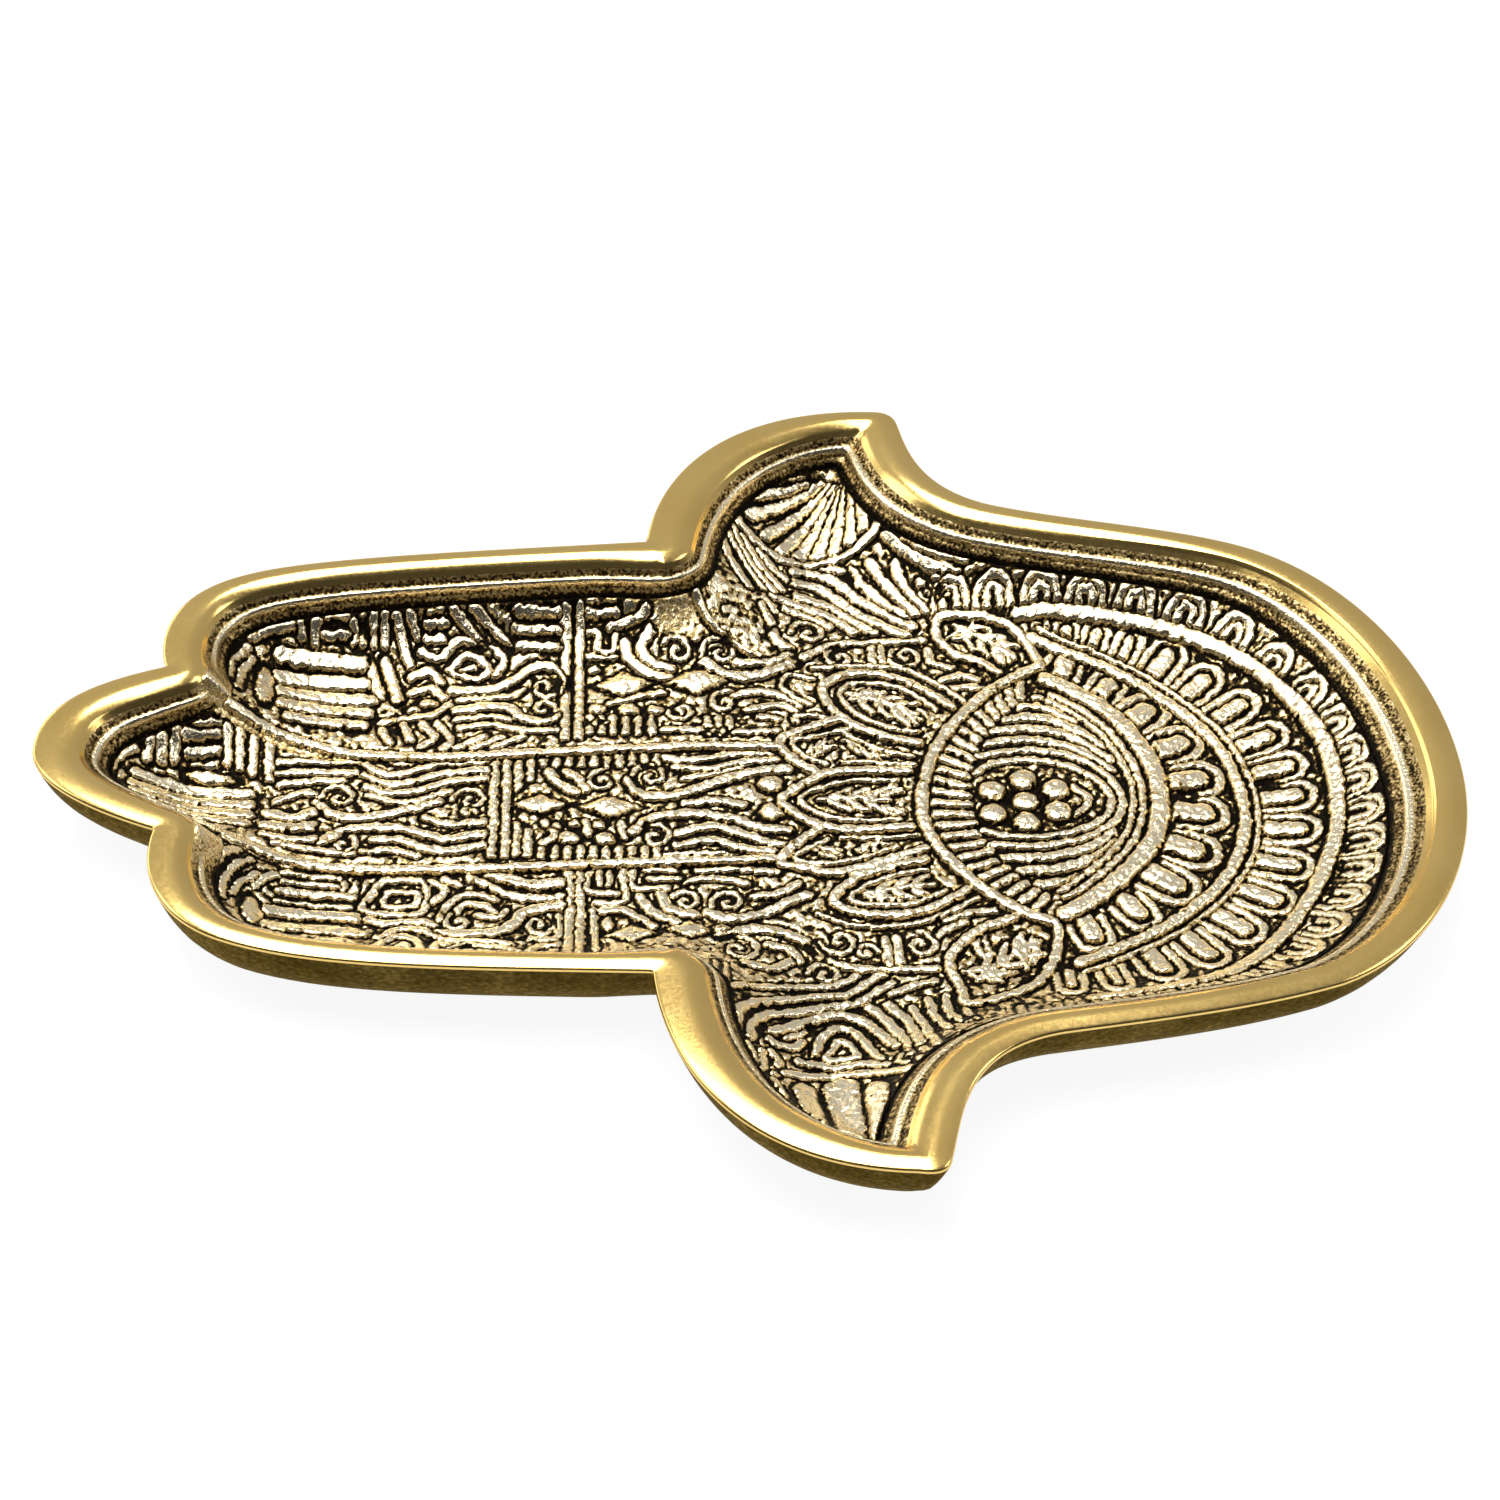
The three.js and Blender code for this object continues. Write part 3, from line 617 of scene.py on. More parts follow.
def draw_petals(r, top):
    """Lotus petals at the foot of the palm with their sprigs, and the cells and curls beside them."""
    outlines = [
        [(31.2, 8.8), (24, 8.8), (16.2, 8.3), (11.5, 6), (5.4, 0.6), (8, -3.4), (11, -5.8), (16.5, -7.8),
         (24, -7.7), (31, -6.8)],
        [(12.6, 8.3), (8.4, 11.6), (5.4, 17), (11.5, 21), (18.3, 24)],
        [(12.4, -7.8), (8.2, -11.4), (4.4, -16.8), (9, -18.4), (14.9, -19.8), (20.6, -18.2), (28.9, -14.9),
         (33.4, -13)],
        [(34, 16.8), (26.4, 19), (20.3, 22.4), (16.4, 27.2), (14.9, 33.4), (20.3, 37.2), (26.4, 37.2),
         (31.9, 35.4), (36.6, 32), (41.4, 27.6)],
        [(33.4, -15.9), (27.3, -17.8), (19.4, -21), (14.7, -27.4), (20.6, -30.6), (28.9, -30.7),
         (35.5, -28.1), (41, -24.2)],
        [(52, 38), (48, 41.3), (43.4, 43.2), (39.8, 47.8), (40.2, 53.2), (48, 53.2), (53.6, 51.3),
         (57.4, 47.6), (60.2, 42), (61, 39.4)],
        [(50, -31.6), (44.3, -33.9), (38.7, -38.5), (36.4, -44), (38.2, -51), (39.4, -55.6), (48, -52.8),
         (53.6, -48.4), (57.2, -41.1), (58.3, -33.7)],
    ]
    for points in outlines:
        top.line(points, 1.8, 1.15)
    inner = [
        [(29, 6), (20, 6), (13.5, 4), (9, 0.7), (13, -3.4), (20, -5.2), (29, -4.8)],
        [(14.6, 11), (10.6, 13), (8, 17), (12.4, 18.6), (19.5, 21)],
        [(14.4, -10.6), (10, -13), (7.6, -16), (13.6, -17.2), (20.5, -15.6), (28, -12.4)],
        [(34, 20), (27, 22), (21.6, 25.4), (18.3, 31), (21, 34.4), (27, 34.4), (33, 32), (38, 27)],
        [(33.5, -18.6), (26, -20.6), (20, -24), (18, -27), (23, -28.2), (30, -27.8), (37, -24.2)],
        [(13, 39), (19, 39.6), (26, 39.8), (33, 38.4), (38.6, 34.6), (44, 29.6)],
        [(11.6, -30.6), (19, -33.8), (28.9, -33.4), (37.2, -30), (43, -26)],
        [(13, 36), (8, 37), (6.2, 34), (8.8, 30.6), (12, 28.2)],
        [(9, 25), (14, 24.6), (17, 23)],
        [(32.6, 13), (27, 14.6), (21, 18), (18.4, 20.6)],
        [(32.8, 10.6), (25, 11.2), (17.5, 11.4)],
        [(32.4, -9.2), (25, -10), (17, -10)],
    ]
    for points in inner:
        top.line(points, 1.0, 0.85)
    for x, y, angle, size in [
        (20, 0.5, 0, 7), (27, 3, 20, 3), (27, -2.4, -20, 3), (13.4, 15, 40, 3.6), (23, 15.4, -25, 5),
        (13.6, -13.8, -20, 3.4), (23.6, -12.6, 15, 4), (27, 28.4, -24, 7.6), (22.6, 30.6, 20, 3),
        (31.4, 25.4, -50, 4), (28, -24.2, 12, 7), (23, -26, -20, 3), (49.5, 47, -36, 7.4),
        (45, 49, 20, 3.4), (53.4, 44.4, -70, 3.6), (47.5, -43, 40, 8), (43, -46.5, -10, 4.2),
        (52, -41, 80, 4.4), (43, -39.4, 100, 3.4),
    ]:
        sprig(r, x, y, angle, size)
    cells = [
        [(9.4, 40.8), (13, 43.6), (18.3, 46.4), (25.8, 47), (36.6, 47.6)],
        [(25.6, 40.6), (25.6, 45.8)], [(27.6, 40.6), (27.6, 45.8)],
        [(9.6, -38.8), (14, -43.6), (20.6, -45), (27, -45), (34, -44.8)],
        [(24.4, -37), (24.8, -43.4)], [(26.6, -36.8), (27, -43.4)],
        [(37.4, 44.6), (38.4, 41), (42, 39.6)], [(40, 35.8), (44, 37), (47.4, 36)],
        [(41.6, 33), (45.6, 33.8), (49, 33)],
        [(34.6, -36), (36.6, -34.4), (40, -32.6)], [(36.6, -32.4), (41, -30.2), (46, -29.6)],
    ]
    for points in cells:
        r.line(points, 1.6)
    r.curls([
        (18.8, 42.4, 3.2, 90, 1.5), (32.7, 43, 3.4, 200, 1.5), (15.6, -37.8, 3.6, 180, 1.5),
        (31, -38.6, 3.3, 90, -1.5), (20.4, -40.6, 2.2, 0, 1.3),
    ])


def draw_dividers(r):
    """Ridges between the fingers."""
    for crest in CRESTS:
        r.line(crest, 2.2, 1.2, end=1.8)


def flank_share():
    """Smooth band on the middle finger's side of each divider, near the notches."""
    share = np.zeros(X.shape)
    for crest, side in zip(CRESTS, (1, -1)):
        x, y = zip(*crest)
        inward = (np.interp(X, x, y) - Y) * side
        ends = eased(X, *FLANK_BEGIN) * (1 - eased(X, *FLANK_END))
        band = ends * eased(inward, -FLANK_EDGE, 0)
        share = np.maximum(share, band * (1 - eased(inward, FLANK_WIDTH - FLANK_EDGE, FLANK_WIDTH)))
    return share


def draw_left_finger(r):
    """Nail bars at the tip, frets, an S scroll, a cross band and a second panel."""
    r.lines([
        ([(-108.6, -6), (-108.4, -2), (-106, 2.6)], 1.3),
        ([(-106.8, -8.4), (-106.2, -3), (-103.6, 1.6)], 1.3),
        ([(-104.8, -10.4), (-104.4, -4.6), (-102.6, -0.4)], 1.3),
        ([(-103.2, 3.6), (-99.4, 6), (-94.6, 7.4)], 1.4),
        ([(-97, 2.2), (-89, 2.1), (-80.2, 2)], 3.0),
        ([(-97, -2.6), (-89, -2.6), (-80, -2.6)], 3.0),
        ([(-96.8, -6.4), (-89, -6.5), (-78.6, -6.8)], 2.7),
        ([(-96, -10), (-89, -10.2), (-79, -10.4)], 2.6),
        ([(-94.6, -13.4), (-88, -13.7), (-79.6, -14)], 2.4),
        ([(-93.2, 6), (-93.4, 9.4)], 1.4), ([(-90.4, 5.6), (-90.2, 10)], 1.6),
        ([(-88.6, 9.8), (-82.6, 10.6)], 1.4), ([(-88.4, 6.8), (-83, 7.4)], 1.4),
        ([(-82.4, 6.2), (-82.6, 10.6)], 1.4),
        ([(-80.6, 6), (-80.6, 11)], 1.5), ([(-78.4, 5.8), (-78.4, 11.2)], 1.3),
        ([(-76.2, 5.8), (-76, 11.4)], 1.3),
        ([(-73.6, 10.6), (-72.4, 6.6), (-70.6, 2.4)], 1.7), ([(-71, 11.6), (-69.4, 8)], 1.4),
        ([(-79, 2.4), (-77.9, -1.6), (-76.6, -5.4)], 1.9), ([(-76, 3), (-74, -2.4), (-72.8, -6.6)], 2.1),
        ([(-67.6, 7.6), (-64, 7.8)], 1.4), ([(-67.4, 10), (-63.6, 10.6)], 1.3),
        ([(-68.8, 5.4), (-64.7, 4.2), (-60.8, 7.8), (-56, 7.2), (-51.4, 4.6), (-53.2, 0.6)], 1.5),
        ([(-62.6, 1.8), (-58.8, 5), (-54.6, 2.6), (-57, -0.6), (-62.6, 1.8)], 1.4),
        ([(-60.4, 1.6), (-57.4, 2.4)], 1.2),
        ([(-70.4, -0.6), (-66.6, 1.2), (-64.4, -1.4)], 1.8),
        ([(-70.2, -4.4), (-66, -3.4), (-63.2, -6)], 1.8),
        ([(-76, -13), (-70.7, -11.8), (-65.3, -10.4), (-62, -6.6)], 1.6),
        ([(-75.8, -15), (-74, -18.6)], 1.5), ([(-71.4, -13.6), (-70, -17.8)], 1.6),
        ([(-67.8, -13.2), (-64.9, -17.4), (-67.8, -20)], 1.5),
        ([(-64.6, -13.2), (-61.6, -17.8), (-63.4, -20.6)], 1.5),
        ([(-60.6, -20.4), (-54.6, -16.6)], 1.3), ([(-57.2, -20.4), (-51.2, -17)], 1.3),
        ([(-53.2, -19.8), (-47, -17)], 1.3),
        ([(-60, -14.2), (-54, -13.4), (-47, -14.8), (-40, -15)], 1.4),
        ([(-62, 12.6), (-57.6, 8.8), (-54.4, 5.8)], 1.5), ([(-58, 13.4), (-53.4, 10), (-49.8, 7.4)], 1.5),
        ([(-49, 13.2), (-39.8, 13.4)], 1.5), ([(-49, 10.4), (-39.8, 10.6)], 1.5),
        ([(-49.4, 7.4), (-39.6, 7.5)], 1.5),
        ([(-62, -3.6), (-57.6, -3.8), (-53, -3), (-49, -0.4), (-45.6, 2.4), (-41.8, 3), (-38.9, 0.4),
          (-39.2, -3.6)], 2.0),
        ([(-61, -9.4), (-55.2, -8.2), (-50, -8.3), (-47.6, -11), (-43.6, -12.4), (-39.8, -10.6)], 2.0),
        ([(-61.4, -6.4), (-55, -5.6), (-50, -5), (-47.4, -3.2)], 1.3),
        ([(-60.6, -11.8), (-54, -10.9), (-50, -11.6)], 1.3),
        ([(-38.6, 14.2), (-38.5, -16.8)], 1.7), ([(-35.7, 14.2), (-35.6, -16.8)], 1.7),
        ([(-34, 13.6), (-28, 14)], 1.4), ([(-29.4, 11.4), (-24, 12.6), (-21.8, 14.2)], 1.5),
        ([(-34, 10.4), (-31.8, 10.4), (-31.8, 7.2), (-28.6, 6.8), (-28.4, 10.2)], 1.4),
        ([(-34, 5.8), (-28.4, 5.4)], 1.4),
        ([(-26.2, 8.4), (-25.3, 5), (-21.4, 1.6), (-17.2, 0.2)], 2.0),
        ([(-21.2, 10.4), (-23, 7.2), (-20.6, 3.8), (-17, 2.4)], 2.1),
        ([(-2.8, 5), (2, 5), (6, 6.4), (8.2, 8.4)], 1.8),
        ([(-9.6, 4.4), (-5.6, 1.6), (-0.8, 1), (4.6, 3), (9.6, 6)], 2.2),
        ([(-29.4, -7), (-24, -5), (-18.6, -3.8)], 1.5),
        ([(-3.4, -4.2), (1.3, -3), (6.7, -4.4), (9.6, -7.4)], 1.7),
        ([(-1, -8.6), (4.6, -7.2), (8.4, -8), (9, -11.6)], 1.6),
        ([(-18.6, -14.6), (-11, -14.4), (-2, -15), (5, -14.6)], 1.4),
        ([(1.4, -10.6), (5.4, -11)], 1.3), ([(-33.8, -12.6), (-30.4, -12.4)], 1.4),
    ], LEFT_FINGER_Y)
    teeth = (-33.4, -31, -28.6, -26, -23.4, -20.8, -9.2, -7, -4.8)
    r.lines([([(x, -11), (x, -15.4)], 1.3) for x in teeth], LEFT_FINGER_Y)
    r.beads([
        (-99.8, -6.4, 2.2, 5.4), (-32.6, 2.4, 1.5, 1), (-32, -8.6, 2.2, 1.5), (-25.4, -8.8, 2.4, 1.7),
        (-20, -8.8, 2, 1.5), (-66.6, -7.4, 2.2, 1.3), (-69.6, -9.2, 1.6, 1), (-80.6, 8.6, 0.8, 2.2),
    ], LEFT_FINGER_Y)
    r.curls([
        (-42.7, -2.2, 3.4, 60, -1.5), (-43, -8.6, 3, -90, 1.4), (-15.2, 6.8, 3.1, 150, -1.5),
        (-6.2, 7.2, 3.9, 200, -1.5), (-14.4, -8.8, 2.7, 180, 1.4), (-5.6, -6.2, 3.2, 60, 1.5),
    ], LEFT_FINGER_Y)
    r.lozenge(-26.4, LEFT_FINGER_Y - 1.6, 6.6, 3.9, turn=4)
    r.lozenge(-11.2, LEFT_FINGER_Y - 0.6, 7.4, 3.7, turn=6)


def draw_right_finger(r):
    """The same forms as on the left finger, cut by hand in their own way."""
    r.lines([
        ([(-108.6, -30), (-108, -26.4), (-106.7, -22), (-105, -18.9)], 1.2),
        ([(-105.8, -32.6), (-105.6, -28.2), (-103.9, -23.2), (-101.4, -19.5)], 1.3),
        ([(-103, -34), (-103.2, -29.6), (-101.6, -24.6), (-98.8, -21)], 1.1),
        ([(-101.6, -31.8), (-100.4, -28), (-97.4, -24)], 1.1),
        ([(-97.6, -27.4), (-96, -24.6), (-93.6, -22.6)], 1.2),
        ([(-103.8, -17.2), (-98, -18), (-91.6, -19.4)], 2.4),
        ([(-93, -22), (-86, -21.9), (-78.6, -22)], 1.1),
        ([(-92.6, -24.4), (-86, -24.2), (-82, -24.2)], 1.2),
        ([(-80.6, -21.6), (-81, -25)], 1.2), ([(-78.4, -21.6), (-79, -25.4)], 1.2),
        ([(-93, -26.9), (-86, -26.7), (-79, -26.7)], 1.7),
        ([(-93.6, -29.6), (-86, -29.5), (-79.4, -29.6)], 1.0),
        ([(-94.6, -33), (-86, -32.4), (-77.8, -32.8)], 2.6),
        ([(-94.6, -38), (-86, -37.2), (-75.8, -37.8)], 2.8),
        ([(-73.3, -22.3), (-75.5, -26), (-76.8, -30.4), (-66.6, -31.3), (-64.8, -26.5), (-65.6, -22.4),
          (-73, -22.2)], 1.4),
        ([(-72.4, -25.4), (-72.8, -28.8), (-67.4, -29), (-66.6, -25.6), (-72, -25.3)], 1.2),
        ([(-77, -32.8), (-73.2, -34), (-68.2, -33.9), (-64.5, -33.6), (-62, -35.6)], 1.7),
        ([(-64.6, -22.3), (-61.2, -24.6), (-63.6, -28)], 1.4), ([(-61.6, -21.8), (-58.6, -23.4)], 1.4),
        ([(-62, -32.6), (-60.2, -28.3), (-57, -25.8), (-53.2, -26.4), (-51.4, -27.4)], 1.4),
        ([(-58.9, -30.7), (-57, -28.6), (-53.4, -28.8), (-51.4, -30.6)], 1.4),
        ([(-54.6, -31.4), (-51, -32), (-49.4, -30)], 1.3),
        ([(-62, -36.2), (-60.4, -37.2), (-55.7, -37), (-50.8, -36.4), (-47.6, -33.9), (-46.2, -31.2),
          (-43.2, -29.7), (-37.9, -28.6)], 2.2),
        ([(-76.4, -37.4), (-73.2, -38.8), (-70, -36), (-65.8, -35.9), (-63.2, -37.4), (-59.5, -39.2),
          (-54.5, -39.6), (-48, -40.4)], 1.6),
        ([(-73.6, -43), (-71.6, -39.6), (-68.6, -38.2), (-65.8, -40.4), (-65, -44)], 1.5),
        ([(-69.8, -44), (-68.2, -41), (-67.4, -44)], 1.2),
        ([(-62.6, -43), (-62, -40.4), (-59.8, -41.8)], 1.3),
        ([(-59.5, -42.6), (-55.8, -41.2), (-50.2, -41.8), (-46.4, -44)], 1.6),
        ([(-44.6, -44), (-42.6, -41.4), (-39, -40.6)], 1.6),
        ([(-56.4, -21.4), (-53.9, -22.8), (-50.1, -25.2), (-47, -26.5), (-42, -26.8), (-37.8, -26)], 1.6),
        ([(-52.6, -20.2), (-47.4, -22.4), (-43.2, -23.3), (-38.4, -22.6)], 2.4),
        ([(-39.4, -31.6), (-38.6, -35), (-39.6, -38.4), (-44, -38.6)], 1.5),
        ([(-37, -19.4), (-37, -44.6)], 1.6), ([(-34.8, -19.4), (-34.8, -44.6)], 1.5),
        ([(-32.2, -30), (-32, -36), (-31.6, -43)], 1.3),
        ([(-33.2, -19.2), (-33.4, -24.8), (-27.8, -25.2)], 1.3), ([(-31.2, -19), (-31.2, -23)], 1.2),
        ([(-29.2, -19), (-29.2, -23.2)], 1.2),
        ([(-26.4, -19), (-26.4, -27.4), (-31.8, -27.8)], 1.3),
        ([(-24.4, -19), (-24.4, -23.6), (-18, -24)], 1.3),
        ([(-22, -18.8), (-16, -19.2)], 1.2), ([(-21.6, -21.4), (-15, -21.6)], 1.2),
        ([(-30.6, -30.2), (-26.4, -30), (-23.2, -32.4), (-20.6, -35)], 1.7),
        ([(-23.2, -26.6), (-20.7, -30.6), (-15.7, -33.8)], 1.9),
        ([(-19, -25.6), (-17.4, -29.8), (-12.4, -31.4)], 1.9),
        ([(-9.9, -30.6), (-5.8, -32.3), (0.8, -30.6), (5.8, -27.4), (9.9, -25.6)], 2.0),
        ([(-14.6, -22), (-8, -21.2), (-2, -22.6)], 1.4),
        ([(-12, -19.2), (-4, -18.8), (4, -19.4)], 1.3), ([(-1, -26), (3.4, -25.4), (8, -22.4)], 1.6),
    ])
    r.bead(-97.6, -35.1, 2.1, 4.8, turn=8)
    r.bead(-7.4, -35.6, 2.4, 1.4)
    r.bead(-29.4, -34, 1.5, 2.2)
    r.curls([
        (-58.2, -33.4, 2.7, 120, 1.4), (-42.8, -34, 3.4, 60, -1.5), (-14.1, -27.4, 2.8, 150, -1.5),
        (-5.8, -27.6, 3.2, 200, -1.5), (-56.4, -44, 2, 90, 1.2),
    ])
    r.lozenge(-24.8, -37.4, 5.4, 3.1)
    r.lozenge(-13.6, -36, 5.2, 3)


def draw_middle_finger(r):
    """Nail bars at the tip, waves, a cross band and a panel of diamonds."""
    r.lines([
        ([(-129.4, -6), (-130.2, 0), (-128.9, 4.2), (-126.4, 7.2)], 1.3),
        ([(-127, -7), (-127.8, -1), (-126.4, 3.6), (-123.6, 6.2)], 1.3),
        ([(-125.4, 9), (-122, 10.6), (-118, 11.4)], 1.4), ([(-125, -9), (-121, -10.4), (-114, -11)], 1.4),
        ([(-121.4, 5), (-120.8, 9)], 1.5), ([(-118.8, 5.4), (-118.6, 10.8)], 1.5),
        ([(-116.2, 6), (-116, 11.6)], 1.5),
        ([(-114.4, 10.8), (-108.2, 13)], 1.6), ([(-113.6, 8.2), (-107.6, 10)], 1.6),
        ([(-112, 12.8), (-107.4, 14.6)], 1.3),
        ([(-106, 7.8), (-106.2, 14.6)], 1.5), ([(-103.6, 7.2), (-103.6, 14.8)], 1.5),
        ([(-101, 6), (-101, 14.4)], 1.5), ([(-97.6, 5), (-97.8, 13.4)], 1.6),
        ([(-123, 1.2), (-112, 0.8), (-101.4, 0.8)], 2.3),
        ([(-123.4, -2.1), (-112, -2.3), (-101, -2.3)], 2.3),
        ([(-122.6, -5.3), (-112, -5.4), (-101, -5.4)], 2.3),
        ([(-120, -8.4), (-112, -8.5), (-101.4, -8.6)], 2.3),
        ([(-96, 9.4), (-88, 10.4), (-80, 11.2)], 1.5), ([(-96, 6.7), (-88, 7.6), (-80.4, 7.4)], 1.5),
        ([(-95.4, 3.8), (-88.6, 5), (-83, 5.2)], 1.5),
        ([(-96, -1), (-91, 1.6), (-88.6, 1.4)], 1.5), ([(-97, -4.6), (-92, -5.4), (-88.6, -4)], 2.2),
        ([(-97.4, -8.4), (-92, -8.6), (-88, -7.6)], 2.4),
        ([(-97.6, -11.4), (-92, -12), (-87, -11.4)], 1.6), ([(-95, -13.6), (-88, -14.4), (-80, -15)], 1.4),
        ([(-78.7, 9.8), (-74.7, 7.2), (-70, 7.6), (-63.3, 10.2), (-54, 11)], 1.6),
        ([(-78.8, 6.8), (-74, 4.4), (-69.3, 4.9), (-62.7, 7.4), (-53.6, 8.6)], 1.6),
        ([(-78, 3.6), (-73.4, 1.8), (-68, 2.4), (-61.6, 5), (-53.6, 6.2)], 1.6),
        ([(-77.4, 1), (-72, -0.8), (-67, -0.2), (-61.6, 2.4)], 1.5),
        ([(-77.6, 12.6), (-72, 10.6), (-66, 11.6), (-58, 13)], 1.4),
        ([(-87.4, -1), (-84.9, -4), (-80, -5.3), (-74, -4.2), (-68, -2.4), (-63.4, -0.4)], 1.9),
        ([(-86, -12), (-82.7, -9.2), (-78, -8), (-72, -7.9), (-66.7, -9.2), (-61.3, -10.8),
          (-54, -9.4)], 2.0),
        ([(-76, -11.3), (-70.7, -11.2), (-65.3, -13.6), (-60, -14), (-54, -12.4)], 1.8),
        ([(-78, -14.4), (-72, -14), (-67, -15.4)], 1.4),
        ([(-66, -5.2), (-61, -6.8), (-54, -6)], 1.6),
        ([(-52.4, 13.4), (-52.4, -15.4)], 1.6), ([(-49.9, 13.2), (-49.9, -15.2)], 1.5),
        ([(-47.6, 12.4), (-47.6, 3.4)], 1.4), ([(-45.2, 12.6), (-45.2, 6)], 1.4),
        ([(-47.6, -15), (-47.6, -6.4)], 1.4), ([(-45.4, -15), (-45.4, -8.4)], 1.4),
        ([(-18.6, 12.4), (-13, 11.8), (-4.2, 13.4), (3.4, 14.2)], 1.6),
        ([(-16, 9.6), (-9, 9.2), (-2, 11.2), (4.4, 12)], 1.5),
        ([(-25.4, 5.6), (-22.8, 1.8), (-17.6, 1.4), (-11.7, 3.4), (-4.2, 6.9), (2, 8.8), (7, 9.4)], 2.1),
        ([(-14, 6.4), (-8, 8), (-3, 9.4)], 1.3),
        ([(-41.4, 8), (-39.6, 5), (-36, 2.4)], 1.9), ([(-38, 8.2), (-35.4, 6), (-34, 3)], 1.7),
        ([(-24.8, -8.6), (-20.8, -5), (-12.4, -3.4), (-4.2, -5), (0.8, -7.2), (6.4, -8)], 2.0),
        ([(-15.7, -9), (-9.1, -7), (-2.5, -9.1), (2.5, -11.4), (6.6, -12.2)], 1.9),
        ([(-15.7, -12.4), (-9.1, -10.8), (-2.5, -13), (3.4, -13.8)], 1.7),
        ([(-14, -0.6), (-8, 0.2), (-2.4, -1)], 1.8), ([(-18, -15), (-10, -14.4), (-3, -15.6)], 1.3),
        ([(-42, -6), (-40, -9.4), (-42.4, -12)], 1.5), ([(-34, -6), (-33.2, -9.4)], 1.5),
        ([(-26.8, -6.4), (-26, -10)], 1.5),
    ])
    for x in np.arange(-42.6, -19, 2.55):
        r.line([(x, 13.2), (x, 10.2)], 1.4, straight=True)
        r.line([(x, -15.6), (x, -13.2)], 1.4, straight=True)
    r.beads([
        (-108.9, 4.1, 5, 1.5), (-37.4, -10.6, 2.2, 1.9), (-30, -10.8, 2.3, 1.9), (-40.2, -7, 1.5, 1.2),
        (-36, -6.6, 1.6, 1.2), (-31.4, -6.8, 1.6, 1.2), (3.3, 4.9, 2.7, 2.5), (3.3, -2.9, 2.7, 2.5),
        (-85.8, -8, 1.6, 1.2),
    ])
    r.curls([
        (-83.2, 0.6, 3.7, 200, -1.5), (-81.8, -12.4, 3, 120, -1.4), (-57, 0, 3.4, 180, -1.5),
        (-57.6, -3.4, 1.6, 0, 1), (-30.8, 5.6, 2.9, 90, 1.5), (-20.8, 7.2, 4, 230, -1.5),
        (-20.2, -9.8, 3.4, 130, -1.5),
    ])
    r.lozenge(-43.2, -1.2, 6.4, 3.1)
    r.lozenge(-29, -1.8, 7, 3.3)


